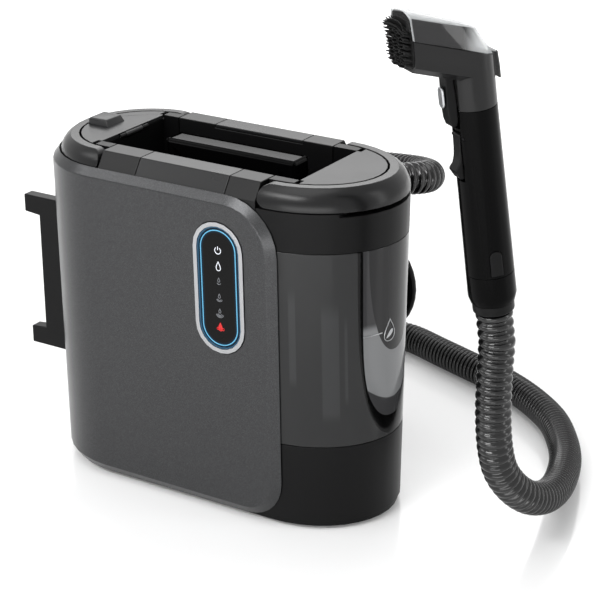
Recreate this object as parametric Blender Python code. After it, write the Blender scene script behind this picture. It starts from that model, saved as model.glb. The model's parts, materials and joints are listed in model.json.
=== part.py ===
"""A steam vacuum cleaner: an upright body with two lift-out tanks, and a spray handset on a ribbed hose.

Metres, +Z up. The body's length runs along X, with the clean tank at +X and the display facing -Y, and
its feet stand on z = 0. Every piece hangs on one empty, which puts the middle of the object's box,
without the hose, at the origin.
"""

import math

import bmesh
import bpy
import numpy as np
from mathutils import Matrix, Vector

# Shared clearances and walls
GAP = 0.0003
OVERRUN = 0.006
SKIN = 0.0025
RUNNING_GAP = 0.0006

# Body plan: a long middle with a half ellipse at each end
END_CENTRE = 0.0905
HALF_WIDTH = 0.0755
RIGHT_REACH = 0.0855
LEFT_REACH = 0.0758
DRAFT_SLOPE = 0.0189
DRAFT_LEVEL = 0.1685
END_STEPS = 18

# Body heights
FOOT_HEIGHT = 0.0030
TRAY_TOP = 0.0085
TRAY_INSET = 0.0020
BASE_TOP = 0.0820
TANK_TOP = 0.2641
COLLAR_HEIGHT = 0.0556
RIM_TOP = TANK_TOP + COLLAR_HEIGHT
RIM_SHOULDER_DROP = 0.0152
RIM_SHOULDER = RIM_TOP - RIM_SHOULDER_DROP
RIM_CREASE_INSET = 0.0105
RIM_CREASE = HALF_WIDTH - RIM_CREASE_INSET
FOOT_RADIUS = 0.0110
FOOT_OFFSET = 0.0960
FOOT_SPREAD = 0.0500

# Wrap panel
PANEL_STAND = 0.0063
PANEL_LEFT_REACH = 0.0823
PANEL_EDGE = 0.1041
PANEL_TOP_DROP = 0.0128
PANEL_TOP = RIM_TOP - PANEL_TOP_DROP
PANEL_BOTTOM = 0.0048
PANEL_CHAMFER = 0.0082
PANEL_TOP_RADIUS = 0.0500
PANEL_BOTTOM_RADIUS = 0.0380
CORNER_STEPS = 7

# Handle deck between the tanks
DECK_LEFT = -0.0845
DECK_RIGHT = 0.0825
DECK_FLOOR_RISE = 0.0009
DECK_FLOOR = TANK_TOP + DECK_FLOOR_RISE
DECK_FLOOR_THICKNESS = 0.0030
DECK_UNDER = DECK_FLOOR - DECK_FLOOR_THICKNESS
DECK_WALL = 0.0060
TANK_SPACE = 0.0008
RECESS_INSET = 0.0305
RECESS_HALF = HALF_WIDTH - RECESS_INSET
RECESS_LEFT = -0.1020
RECESS_RIGHT = 0.1070
TRIM_LEFT = -0.0435
TRIM_RIGHT = 0.0507
TRIM_THICKNESS = 0.0030
BAR_LEFT = -0.0570
BAR_RIGHT = 0.0800
BAR_HALF = 0.0115
BAR_THICKNESS = 0.0170
BAR_POST = 0.0150
BAR_BEVEL = 0.0022

# Tank tops: a bail ring lies round a lid
BAIL_HEIGHT = 0.0192
BAIL_BOTTOM = RIM_TOP - BAIL_HEIGHT
BAIL_WIDTH = 0.0182
BAIL_INNER = HALF_WIDTH - BAIL_WIDTH
BAIL_GAP = 0.0008
BAIL_SIDE_GAP = 0.0022
PANEL_SIDE_GAP = 0.0009
BAIL_PIN_RADIUS = 0.0030
BAIL_PIN_LENGTH = 0.0070
BAIL_SLOT_DEPTH = 0.0030
BAIL_SLOT_START = 0.1500
BAIL_EDGE = (
    (0.0000, 0.0000),
    (0.0060, 0.0006),
    (0.0115, 0.0030),
    (0.0160, 0.0062),
    (BAIL_HEIGHT, 0.0105),
)
LID_THICKNESS = 0.0034
LID_INSET = 0.0017
LID_CORNER_GAP = 0.0006
LID_KNUCKLE_RADIUS = 0.0024
LID_PIN_RADIUS = 0.0012
LID_KNUCKLE_HALF = 0.0120
LID_PIN_HALF = 0.0200
FILL_WALL = 0.0106
NOTCH_FLOOR = 0.0030
LID_TAB_WIDTH = 0.0220
LID_TAB_HEIGHT = 0.0050
LID_TAB_DEPTH = 0.0250
LID_TAB_START = 0.1195

# Tank insides
TANK_FLOOR = 0.0030
VALVE_HOLE_RADIUS = 0.0060
VALVE_FLANGE_RADIUS = 0.0095
VALVE_FLANGE_THICKNESS = 0.0030
VALVE_X = 0.1300
TUBE_RADIUS = 0.0090
TUBE_FLANGE_RADIUS = 0.0120
TUBE_FLANGE_THICKNESS = 0.0030
TUBE_BOTTOM = 0.1700
TUBE_X = -0.1060
FLOAT_RADIUS = 0.0165
FLOAT_HEIGHT = 0.0160

# Display on the front of the panel
DISPLAY_X = 0.0473
DISPLAY_Z = 0.2210
DISPLAY_HALF_WIDTH = 0.0257
DISPLAY_HALF_HEIGHT = 0.0612
BEZEL_WIDTH = 0.0040
LIGHT_WIDTH = 0.0013
BEZEL_PROUD = 0.0008
GLASS_SUNK = 0.0004
GLASS_THICKNESS = 0.0020
BOARD_THICKNESS = 0.0016
DISPLAY_STEPS = 10

# Machinery
MOTOR_X = -0.0340
MOTOR_RADIUS = 0.0340
MOTOR_HEIGHT = 0.0700
MOUNT_HEIGHT = 0.0060
SHAFT_RADIUS = 0.0040
FAN_RADIUS = 0.0300
FAN_HEIGHT = 0.0140
FAN_RAISE = 0.0020
FAN_BLADES = 9
FAN_BLADE_THICKNESS = 0.0016
FAN_PLATE = 0.0020
FAN_HUB_RADIUS = 0.0090
FAN_EYE_RADIUS = 0.0160
BOILER_LEFT = 0.0200
BOILER_RIGHT = 0.0740
BOILER_FRONT = -0.0050
BOILER_BACK = 0.0600
BOILER_HEIGHT = 0.0560
BOILER_PORT_RADIUS = 0.0050
BOILER_PORT_HEIGHT = 0.0080
BOILER_ROUND = 0.0060
PUMP_RADIUS = 0.0160
PUMP_LEFT = 0.0150
PUMP_RIGHT = 0.0720
PUMP_Y = -0.0400
PUMP_FOOT = 0.0060
PUMP_NOZZLE_RADIUS = 0.0045
PUMP_NOZZLE_LENGTH = 0.0070
BOARD_LEFT = 0.0180
BOARD_RIGHT = 0.0740
BOARD_LOW = 0.1450
BOARD_HIGH = 0.2450

# Back of the body
OUTLET_X = -0.0350
OUTLET_Z = 0.2740
OUTLET_REACH = 0.0225
OUTLET_RADIUS = 0.0165
OUTLET_FLANGE_RADIUS = 0.0230
OUTLET_FLANGE_THICKNESS = 0.0040
OUTLET_BEND = 0.0180
OUTLET_COLLAR = 0.0220
OUTLET_SPIGOT = 0.0050
HUB_X = 0.0850
HUB_Z = 0.1740
HUB_STEM_RADIUS = 0.0170
HUB_FLANGE_RADIUS = 0.0520
HUB_REACH = 0.0245
HUB_FLANGE_THICKNESS = 0.0060
HUB_STEPS = 36
GLAND_X = -0.0600
GLAND_Z = 0.0360
GLAND_RADIUS = 0.0090
GLAND_LENGTH = 0.0090
GLAND_TIP_SHARE = 0.65

# Cleat on the left end, an upright plate with a prong at its top and one at its foot
CLEAT_HALF_THICKNESS = 0.0060
CLEAT_TIP_X = -0.2330
CLEAT_WEB_X = -0.2155
CLEAT_TOP = 0.2340
CLEAT_BOTTOM = 0.0800
CLEAT_PRONG = 0.0175
CLEAT_BEVEL = 0.0015

# Hose
HOSE_RADIUS = 0.01525
HOSE_VALLEY_SHARE = 0.86
HOSE_BORE_RADIUS = 0.0102
ELBOW_RESOLUTION = 4
RIB_PITCH = 0.0077
HOSE_ROUTE = (
    (0.062, 0.1065, 0.2735),
    (0.092, 0.1120, 0.2725),
    (0.114, 0.1340, 0.2700),
    (0.116, 0.1620, 0.2645),
    (0.095, 0.1850, 0.2580),
    (0.062, 0.1980, 0.2520),
    (0.012, 0.2100, 0.2430),
    (-0.045, 0.2260, 0.2290),
    (-0.092, 0.2420, 0.1960),
    (-0.120, 0.2590, 0.1490),
    (-0.124, 0.2770, 0.1000),
    (-0.107, 0.2940, 0.0570),
    (-0.074, 0.3100, 0.0290),
    (-0.034, 0.3230, 0.0170),
    (0.005, 0.3270, 0.0155),
    (0.052, 0.3110, 0.0155),
    (0.096, 0.2950, 0.0155),
    (0.131, 0.2830, 0.0155),
    (0.167, 0.2654, 0.0155),
    (0.198, 0.2450, 0.0155),
    (0.227, 0.2200, 0.0155),
    (0.253, 0.1860, 0.0155),
    (0.272, 0.1530, 0.0165),
    (0.288, 0.1130, 0.0205),
    (0.300, 0.0720, 0.0275),
    (0.306, 0.0340, 0.0380),
    (0.306, 0.0030, 0.0525),
    (0.302, -0.0190, 0.0710),
    (0.2985, -0.0350, 0.0930),
    (0.2980, -0.0450, 0.1180),
    (0.2985, -0.0510, 0.1480),
    (0.2995, -0.0535, 0.1840),
)

# Handset frames: upright at the hose's end, leaning along the grip, and rising along the head
HANDSET_X = 0.2995
HANDSET_Y = -0.0582
HANDSET_Z = 0.2480
HANDSET_TURN = math.radians(-123.3)
GRIP_LEAN = math.radians(7.6)
HEAD_X = 0.0209
HEAD_Z = 0.4647
HEAD_RISE = math.radians(15)

# Grip, its cuff and the duct inside it
ROUND_STEPS = 24
GRIP_RADIUS = 0.0184
GRIP_FLARE = 0.0011
GRIP_WALL = 0.0022
SHELL_TOP = 0.1750
CUFF_WAIST = 0.0178
CUFF_SHOULDER = 0.0150
CUFF_TOP = 0.0345
RING_RADIUS = 0.0170
RING_HEIGHT = 0.0082
DUCT_RADIUS = 0.0120
DUCT_WALL = 0.0015
DUCT_TOP = 0.1900
RELEASE_ANGLE = math.radians(80)
RELEASE_LOW = 0.0370
RELEASE_HIGH = 0.0580
RELEASE_HALF = 0.0050
RELEASE_PROUD = 0.0008

# Triggers, as outlines along and up the grip, with their pins and slots
PIN_RADIUS = 0.0012
TRIGGER_HALF = 0.0060
TRIGGER_SLOT_HALF = 0.0068
SPRAY_PIVOT = (0.0218, 0.2085)
SPRAY_OUTLINE = (
    (0.0190, 0.2080),
    (0.0198, 0.2115),
    (0.0220, 0.2128),
    (0.0244, 0.2110),
    (0.0248, 0.1990),
    (0.0254, 0.1820),
    (0.0246, 0.1700),
    (0.0228, 0.1636),
    (0.0190, 0.1632),
    (0.0172, 0.1680),
    (0.0170, 0.1850),
    (0.0180, 0.2000),
)
SPRAY_PIN_HALF = 0.0110
SPRAY_SLOT_BACK = 0.0130
SPRAY_SLOT_LOW = 0.1610
SPRAY_SLOT_HIGH = 0.2145
CAP_THICKNESS = 0.0022
CAP_LOW = 0.1790
CAP_HIGH = 0.1965
CAP_HALF = 0.0040
STEAM_PIVOT = (0.0157, 0.1530)
STEAM_OUTLINE = (
    (0.0181, 0.1560),
    (0.0182, 0.1490),
    (0.0184, 0.1430),
    (0.0190, 0.1370),
    (0.0206, 0.1317),
    (0.0238, 0.1283),
    (0.0238, 0.1266),
    (0.0200, 0.1195),
    (0.0170, 0.1195),
    (0.0168, 0.1490),
    (0.0130, 0.1500),
    (0.0130, 0.1560),
)
STEAM_PIN_HALF = 0.0093
STEAM_SLOT_BACK = 0.0126
STEAM_SLOT_LOW = 0.1170
STEAM_SLOT_HIGH = 0.1590

# Head housing: stations are places along the head with its half width there
NECK_TOP = 0.2400
MOUTH = 0.0668
HEAD_DEPTH = 0.0242
HEAD_SLANT_SHARE = 0.385
HEAD_SECTION_SHARES = ((1.0, 0.0), (1.0, 0.50), (0.93, 0.80), (0.62, 1.0))
HEAD_STATIONS = (
    (0.0020, 0.0170),
    (0.0080, 0.0180),
    (0.0300, 0.0186),
    (0.0480, 0.0192),
    (MOUTH, 0.0195),
)
CHANNEL_HALF = 0.0130
CHANNEL_DEPTH = 0.0110
CHANNEL_START = 0.0050

# Clear cover: its stations hold the place along the head, two half widths, the height and the crown over it
COVER_WALL = 0.0018
COVER_CROWN_SHARES = ((0.66, 0.66), (0.24, 1.0))
COVER_STATIONS = (
    (-0.0070, 0.0110, 0.0085, 0.0024, 0.0004),
    (0.0050, 0.0165, 0.0070, 0.0172, 0.0010),
    (0.0200, 0.0174, 0.0102, 0.0171, 0.0018),
    (0.0350, 0.0182, 0.0132, 0.0170, 0.0026),
    (0.0500, 0.0189, 0.0155, 0.0168, 0.0034),
    (MOUTH, 0.0195, 0.0170, 0.0166, 0.0042),
)
TAB_THICKNESS = 0.0014
TAB_HALF = 0.0070
TAB_LINE = (
    (-0.0050, 0.0022),
    (-0.0128, 0.0020),
    (-0.0178, -0.0080),
    (-0.0218, -0.0175),
)

# Brush at the head's mouth
BRUSH_TOP = 0.0060
BRUSH_THICKNESS = 0.0070
BRUSH_CLEAR = 0.0030
MOUTH_WALL = 0.0016
TOOTH_RADIUS = 0.0016
TOOTH_LENGTH = 0.0060
TOOTH_SIDES = 6
TOOTH_COLUMNS = 4
TOOTH_ROWS = 6
TOOTH_SPAN = 0.0126
TOOTH_LOW = -0.0192
TOOTH_HIGH = 0.0030
NOZZLE_RADIUS = 0.0030
NOZZLE_PROUD = 0.0030

# Finishes: colour, roughness and how metallic
FINISHES = {
    "panel_grey": ((0.060, 0.061, 0.064), 0.36, 0.75),
    "deck_grey": ((0.046, 0.047, 0.049), 0.42, 0.30),
    "black_satin": ((0.012, 0.012, 0.013), 0.38, 0.0),
    "smoke_clear": ((0.070, 0.072, 0.075), 0.08, 0.0),
    "clear_cover": ((0.62, 0.64, 0.66), 0.06, 0.0),
    "silver_ring": ((0.72, 0.73, 0.75), 0.22, 0.9),
    "display_black": ((0.004, 0.004, 0.005), 0.06, 0.0),
    "light_guide": ((0.10, 0.62, 0.95), 0.30, 0.0),
    "hose_grey": ((0.035, 0.036, 0.038), 0.28, 0.0),
    "rubber_black": ((0.015, 0.015, 0.015), 0.75, 0.0),
    "bare_steel": ((0.55, 0.56, 0.57), 0.30, 1.0),
    "cast_alloy": ((0.48, 0.49, 0.50), 0.42, 1.0),
    "inner_plastic": ((0.50, 0.50, 0.48), 0.50, 0.0),
    "board_green": ((0.02, 0.14, 0.07), 0.45, 0.0),
}


def clear_scene():
    """Removes what the scene holds and makes the finishes."""
    for obj in list(bpy.data.objects):
        bpy.data.objects.remove(obj)
    for name, (colour, roughness, metallic) in FINISHES.items():
        material = bpy.data.materials.new(name)
        material.use_nodes = True
        shader = material.node_tree.nodes["Principled BSDF"]
        shader.inputs["Base Color"].default_value = (*colour, 1)
        shader.inputs["Roughness"].default_value = roughness
        shader.inputs["Metallic"].default_value = metallic
        material.diffuse_color = (*colour, 1)


def group(name, parent=None, at=(0, 0, 0)):
    """An empty on a joint's axis, which carries the pieces that move together."""
    empty = bpy.data.objects.new(name, None)
    bpy.context.scene.collection.objects.link(empty)
    empty["place"] = list(at)
    empty.location = Vector(at) - Vector(parent["place"] if parent else (0, 0, 0))
    empty.parent = parent
    return empty


def shape_of(bm):
    """An object from a bmesh, with its faces turned outwards."""
    bmesh.ops.recalc_face_normals(bm, faces=bm.faces)
    mesh = bpy.data.meshes.new("shape")
    bm.to_mesh(mesh)
    bm.free()
    obj = bpy.data.objects.new("shape", mesh)
    bpy.context.scene.collection.objects.link(obj)
    return obj


def loft(loops, ring=False):
    """A solid through closed loops of equally many points: capped at both ends, or joined end to start."""
    bm = bmesh.new()
    rows = [[bm.verts.new(point) for point in loop] for loop in loops]
    count = len(rows[0])
    pairs = list(zip(rows, rows[1:] + rows[:1])) if ring else list(zip(rows, rows[1:]))
    for low, high in pairs:
        for i in range(count):
            j = (i + 1) % count
            bm.faces.new((low[i], low[j], high[j], high[i]))
    if not ring:
        bm.faces.new(rows[0][::-1])
        bm.faces.new(rows[-1])
    return shape_of(bm)


def prism(outline, low, high, axis="Z"):
    """A flat outline pushed along an axis. Its two numbers lie along the other two axes, in order."""
    lay = {
        "X": lambda a, b, c: (c, a, b),
        "Y": lambda a, b, c: (a, c, b),
        "Z": lambda a, b, c: (a, b, c),
    }[axis]
    return loft([[lay(a, b, c) for a, b in outline] for c in (low, high)])


def box(low, high):
    """A plain block from its lowest corner to its highest."""
    (x0, y0, z0), (x1, y1, z1) = low, high
    return prism([(x0, y0), (x1, y0), (x1, y1), (x0, y1)], z0, z1)


def arc(centre, radii, start, stop, steps):
    """Points along part of an ellipse, its angles in degrees."""
    (cx, cy), (rx, ry) = centre, radii
    angles = [math.radians(start + (stop - start) * i / steps) for i in range(steps + 1)]
    return [(cx + rx * math.cos(a), cy + ry * math.sin(a)) for a in angles]


def circle(centre, radius, steps=ROUND_STEPS):
    """Points round a circle, the first not repeated."""
    return arc(centre, (radius, radius), 0, 360, steps)[:-1]


def rod(centre, radius, low, high, axis="Z", steps=ROUND_STEPS):
    """A cylinder about a line along an axis."""
    return prism(circle(centre, radius, steps), low, high, axis)


def obround(centre, half_width, half_height, steps=DISPLAY_STEPS):
    """An upright outline with straight sides and round ends."""
    cx, cz = centre
    rise = half_height - half_width
    top = arc((cx, cz + rise), (half_width, half_width), 0, 180, steps)
    bottom = arc((cx, cz - rise), (half_width, half_width), 180, 360, steps)
    return top + bottom


def bake(obj):
    """Turns an object's modifiers into its mesh."""
    graph = bpy.context.evaluated_depsgraph_get()
    mesh = bpy.data.meshes.new_from_object(obj.evaluated_get(graph))
    old = obj.data
    obj.modifiers.clear()
    obj.data = mesh
    if isinstance(old, bpy.types.Mesh):
        bpy.data.meshes.remove(old)
    return obj


def combine(target, others, operation):
    """Cuts or joins shapes with exact Booleans, and removes the shapes that were used."""
    for other in others:
        modifier = target.modifiers.new(operation, "BOOLEAN")
        modifier.operation = operation
        modifier.object = other
        bake(target)
        bpy.data.objects.remove(other)
    return target


def cut(target, *cutters):
    """The target without its cutters."""
    return combine(target, cutters, "DIFFERENCE")


def fuse(target, *others):
    """The target and the others as one body."""
    return combine(target, others, "UNION")


def bevelled(obj, width, segments=1, angle=40):
    """The shape with its sharp edges taken off."""
    modifier = obj.modifiers.new("edges", "BEVEL")
    modifier.width = width
    modifier.segments = segments
    modifier.limit_method = "ANGLE"
    modifier.angle_limit = math.radians(angle)
    modifier.use_clamp_overlap = True
    return bake(obj)


def moved(obj, matrix):
    """The shape with its mesh carried into another frame."""
    obj.data.transform(matrix)
    return obj


def draft_at(z):
    """How much wider than at the draft level the moulded sides are at a height."""
    return 1 + DRAFT_SLOPE * (z - DRAFT_LEVEL) / HALF_WIDTH


def drafted_point(point):
    """A point of the upright body after its sides, but not its left end, lean outwards with height."""
    x, y, z = point
    over = max(abs(x) - END_CENTRE, 0) * (draft_at(z) if x > 0 else 1)
    return Vector((math.copysign(min(abs(x), END_CENTRE) + over, x), y * draft_at(z), z))


def drafted(obj):
    """The shape with the body's draft on it."""
    for vertex in obj.data.vertices:
        vertex.co = drafted_point(vertex.co)
    return obj


def node(obj, name, finish, parent, smooth=35):
    """Names a finished shape, gives it its material, and hangs it on its empty with its origin there."""
    obj.name = obj.data.name = name
    obj.data.materials.clear()
    obj.data.materials.append(bpy.data.materials[finish])
    obj.data.transform(Matrix.Translation(-Vector(parent["place"])))
    obj.parent = parent
    obj.data.shade_smooth()
    obj.data.set_sharp_from_angle(angle=math.radians(smooth))
    return obj


def body_outline(inset):
    """The whole body's plan, drawn in by an inset."""
    right = arc((END_CENTRE, 0), (RIGHT_REACH - inset, HALF_WIDTH - inset), -90, 90, END_STEPS)
    left = arc((-END_CENTRE, 0), (LEFT_REACH - inset, HALF_WIDTH - inset), 90, 270, END_STEPS)
    return right + left


def end_outline(side, cut_x, half_width, inset=0.0):
    """The plan of one end, from a straight cut across the body to its round end. side is 1 or -1."""
    reach = (RIGHT_REACH if side > 0 else LEFT_REACH) - HALF_WIDTH + half_width
    start = abs(cut_x) + inset
    radii = (reach - inset, half_width - inset)
    points = arc((END_CENTRE, 0), radii, -90, 90, END_STEPS)
    if start < END_CENTRE:
        points = [(start, -radii[1])] + points + [(start, radii[1])]
    else:
        points = [(max(x, start), y) for x, y in points if x > start]
        edge = radii[1] * math.sqrt(1 - ((start - END_CENTRE) / radii[0]) ** 2)
        points = [(start, -edge)] + points + [(start, edge)]
    return [(side * x, y) for x, y in points]


def tube_along(points, radii, resolution, name="tube"):
    """A closed tube on a poly curve through points, each with its own radius."""
    curve = bpy.data.curves.new(name, "CURVE")
    curve.dimensions = "3D"
    curve.bevel_depth = max(radii)
    curve.bevel_resolution = resolution
    curve.use_fill_caps = True
    spline = curve.splines.new("POLY")
    spline.points.add(len(points) - 1)
    for spot, place, radius in zip(spline.points, points, radii):
        spot.co = (*place, 1)
        spot.radius = radius / max(radii)
    obj = bpy.data.objects.new(name, curve)
    bpy.context.scene.collection.objects.link(obj)
    graph = bpy.context.evaluated_depsgraph_get()
    mesh = bpy.data.meshes.new_from_object(obj.evaluated_get(graph))
    bpy.data.objects.remove(obj)
    bm = bmesh.new()
    bm.from_mesh(mesh)
    bmesh.ops.remove_doubles(bm, verts=bm.verts, dist=GAP / 10)
    bpy.data.meshes.remove(mesh)
    return shape_of(bm)


def smooth_route(points, steps=24):
    """A smooth curve through the route's points, as a dense list of places."""
    spots = np.array([points[0], *points, points[-1]], float)
    spots[0] = 2 * spots[1] - spots[2]
    spots[-1] = 2 * spots[-2] - spots[-3]
    knots = np.concatenate([[0], np.cumsum(np.linalg.norm(np.diff(spots, axis=0), axis=1) ** 0.5)])
    line = []
    for i in range(1, len(spots) - 2):
        t0, t1, t2, t3 = knots[i - 1 : i + 3]
        p0, p1, p2, p3 = spots[i - 1 : i + 3]
        for t in np.linspace(t1, t2, steps, endpoint=False):
            a1 = ((t1 - t) * p0 + (t - t0) * p1) / (t1 - t0)
            a2 = ((t2 - t) * p1 + (t - t1) * p2) / (t2 - t1)
            a3 = ((t3 - t) * p2 + (t - t2) * p3) / (t3 - t2)
            b1 = ((t2 - t) * a1 + (t - t0) * a2) / (t2 - t0)
            b2 = ((t3 - t) * a2 + (t - t1) * a3) / (t3 - t1)
            line.append(((t2 - t) * b1 + (t - t1) * b2) / (t2 - t1))
    return np.array([*line, spots[-2]])


def spaced(line, count):
    """The line again, with equal steps between its points."""
    along = np.concatenate([[0], np.cumsum(np.linalg.norm(np.diff(line, axis=0), axis=1))])
    at = np.linspace(0, along[-1], count + 1)
    return np.stack([np.interp(at, along, line[:, k]) for k in range(3)], axis=1)


def feet(parent):
    """Four rubber feet under the tray."""
    for i, (sx, sy) in enumerate(((-1, -1), (1, -1), (1, 1), (-1, 1))):
        foot = rod((sx * FOOT_OFFSET, sy * FOOT_SPREAD), FOOT_RADIUS, 0, FOOT_HEIGHT - GAP)
        node(foot, f"rubber_foot_{i + 1}", "rubber_black", parent)


def base(parent):
    """The bottom tray and the upturned base housing above it."""
    tray = drafted(prism(body_outline(TRAY_INSET), FOOT_HEIGHT, TRAY_TOP))
    node(tray, "base_tray", "black_satin", parent)
    housing = prism(body_outline(0), TRAY_TOP + GAP, BASE_TOP)
    hollow = prism(body_outline(SKIN), TRAY_TOP - OVERRUN, BASE_TOP - TANK_FLOOR)
    node(drafted(cut(housing, hollow)), "base_housing", "black_satin", parent)


def wrap_panel(parent):
    """The grey shell round the front, the left end and the back, with a wide chamfer along its edges."""
    front = []
    for i in range(CORNER_STEPS + 1):
        turn = math.radians(90 * i / CORNER_STEPS)
        column = []
        for inner in (True, False):
            edge = 0 if inner else PANEL_CHAMFER
            low_r, high_r = PANEL_BOTTOM_RADIUS - edge, PANEL_TOP_RADIUS - edge
            low_x = PANEL_EDGE - PANEL_BOTTOM_RADIUS + low_r * math.cos(turn)
            high_x = PANEL_EDGE - PANEL_TOP_RADIUS + high_r * math.cos(turn)
            low_z = PANEL_BOTTOM + PANEL_BOTTOM_RADIUS - low_r * math.sin(turn)
            high_z = PANEL_TOP - PANEL_TOP_RADIUS + high_r * math.sin(turn)
            y = HALF_WIDTH + (GAP if inner else PANEL_STAND)
            column.append(((low_x, -y, low_z), (high_x, -y, high_z)))
        front.append(column)
    turns = arc((0, 0), (1, 1), 270, 90, END_STEPS)
    round_end = []
    for c, s in turns:
        column = []
        for inner in (True, False):
            edge = 0 if inner else PANEL_CHAMFER
            reach = LEFT_REACH + GAP if inner else PANEL_LEFT_REACH
            across = HALF_WIDTH + (GAP if inner else PANEL_STAND)
            x, y = -END_CENTRE + reach * c, across * s
            column.append(((x, y, PANEL_BOTTOM + edge), (x, y, PANEL_TOP - edge)))
        round_end.append(column)
    back = [[tuple((x, -y, z) for x, y, z in pair) for pair in column] for column in front[::-1]]
    loops = [[inner[0], inner[1], outer[1], outer[0]] for inner, outer in front + round_end + back]
    panel = loft(loops)
    hole = obround((DISPLAY_X, DISPLAY_Z), DISPLAY_HALF_WIDTH + GAP, DISPLAY_HALF_HEIGHT + GAP)
    across = HALF_WIDTH - OVERRUN, HALF_WIDTH + PANEL_STAND + OVERRUN
    cut(panel, prism(hole, -across[1], -across[0], "Y"))
    cut(panel, rod((OUTLET_X, OUTLET_Z), OUTLET_RADIUS + GAP, *across, "Y"))
    node(drafted(panel), "wrap_panel", "panel_grey", parent)


def band(outline_of, low, high):
    """A thin ring between two outlines: the display's bezel or light guide."""
    outer, inner = outline_of
    ring = cut(prism(outer, low, high, "Y"), prism(inner, low - OVERRUN, high + OVERRUN, "Y"))
    return drafted(ring)


def display(parent):
    """The silver ring, the light guide inside it, the black glass and the board behind it."""
    centre = (DISPLAY_X, DISPLAY_Z)
    face = -(HALF_WIDTH + PANEL_STAND)

    def sized(inset):
        return obround(centre, DISPLAY_HALF_WIDTH - inset, DISPLAY_HALF_HEIGHT - inset)

    ring_back = -(HALF_WIDTH + GAP)
    ring = band((sized(0), sized(BEZEL_WIDTH)), face - BEZEL_PROUD, ring_back)
    node(ring, "display_bezel", "silver_ring", parent)
    glass_front = face + GLASS_SUNK
    glass_back = glass_front + GLASS_THICKNESS
    guide = (sized(BEZEL_WIDTH + GAP), sized(BEZEL_WIDTH + LIGHT_WIDTH))
    node(band(guide, glass_front - GAP, glass_back), "light_ring", "light_guide", parent)
    glass = prism(sized(BEZEL_WIDTH + LIGHT_WIDTH + GAP), glass_front, glass_back, "Y")
    node(drafted(glass), "display_glass", "display_black", parent)
    board = prism(sized(BEZEL_WIDTH + GAP), glass_back + GAP, glass_back + GAP + BOARD_THICKNESS, "Y")
    node(drafted(board), "display_board", "board_green", parent)


def core(parent):
    """The housing between the tanks."""
    half = HALF_WIDTH - GAP
    low, high = BASE_TOP + GAP, DECK_UNDER - GAP
    housing = box((DECK_LEFT, -half, low), (DECK_RIGHT, half, high))
    hollow = box(
        (DECK_LEFT + SKIN, -half + SKIN, low - OVERRUN),
        (DECK_RIGHT - SKIN, half - SKIN, high + OVERRUN),
    )
    node(drafted(cut(housing, hollow)), "core_housing", "black_satin", parent)


def mirrored(points):
    """An outline's right half with its left half after it."""
    return list(points) + [(-y, z) for y, z in reversed(points)]


def deck(parent):
    """The deck with the hand recess, its two top trims, and the bar that the cleaner is carried by."""
    half = HALF_WIDTH - GAP
    section = [
        (RECESS_HALF, DECK_FLOOR),
        (RECESS_HALF, RIM_TOP),
        (RIM_CREASE, RIM_TOP),
        (half, RIM_SHOULDER),
        (half, DECK_UNDER),
        (half - DECK_WALL, DECK_UNDER),
        (half - DECK_WALL, RIM_SHOULDER - DECK_WALL),
        (RIM_CREASE - DECK_WALL, RIM_TOP - DECK_WALL),
        (RECESS_HALF + DECK_WALL, RIM_TOP - DECK_WALL),
        (RECESS_HALF + DECK_WALL, DECK_UNDER),
    ]
    tub = prism(mirrored(section), DECK_LEFT, DECK_RIGHT, "X")
    for side, name in ((-1, "front_rim_trim"), (1, "back_rim_trim")):
        under = RIM_TOP - TRIM_THICKNESS
        seat = [
            (half + OVERRUN, RIM_SHOULDER - GAP),
            (half + OVERRUN, RIM_TOP + OVERRUN),
            (RECESS_HALF - OVERRUN, RIM_TOP + OVERRUN),
            (RECESS_HALF - OVERRUN, under - GAP),
            (RIM_CREASE - TRIM_THICKNESS - GAP, under - GAP),
            (half - TRIM_THICKNESS - GAP, RIM_SHOULDER - GAP),
        ]
        trim = [
            (half, RIM_SHOULDER),
            (RIM_CREASE, RIM_TOP),
            (RECESS_HALF, RIM_TOP),
            (RECESS_HALF, under),
            (RIM_CREASE - TRIM_THICKNESS, under),
            (half - TRIM_THICKNESS, RIM_SHOULDER),
        ]
        seat, trim = ([(side * y, z) for y, z in points] for points in (seat, trim))
        cut(tub, prism(seat, TRIM_LEFT - GAP, TRIM_RIGHT + GAP, "X"))
        node(drafted(prism(trim, TRIM_LEFT, TRIM_RIGHT, "X")), name, "deck_grey", parent)
    node(drafted(tub), "handle_deck", "black_satin", parent)
    foot, top = DECK_FLOOR + GAP, RIM_TOP + GAP
    arch = [
        (BAR_LEFT, foot),
        (BAR_LEFT, top),
        (BAR_RIGHT, top),
        (BAR_RIGHT, foot),
        (BAR_RIGHT - BAR_POST, foot),
        (BAR_RIGHT - BAR_POST, top - BAR_THICKNESS),
        (BAR_LEFT + BAR_POST, top - BAR_THICKNESS),
        (BAR_LEFT + BAR_POST, foot),
    ]
    bar = bevelled(prism(arch, -BAR_HALF, BAR_HALF, "Y"), BAR_BEVEL, 2)
    node(bar, "carry_handle", "deck_grey", parent)


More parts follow.
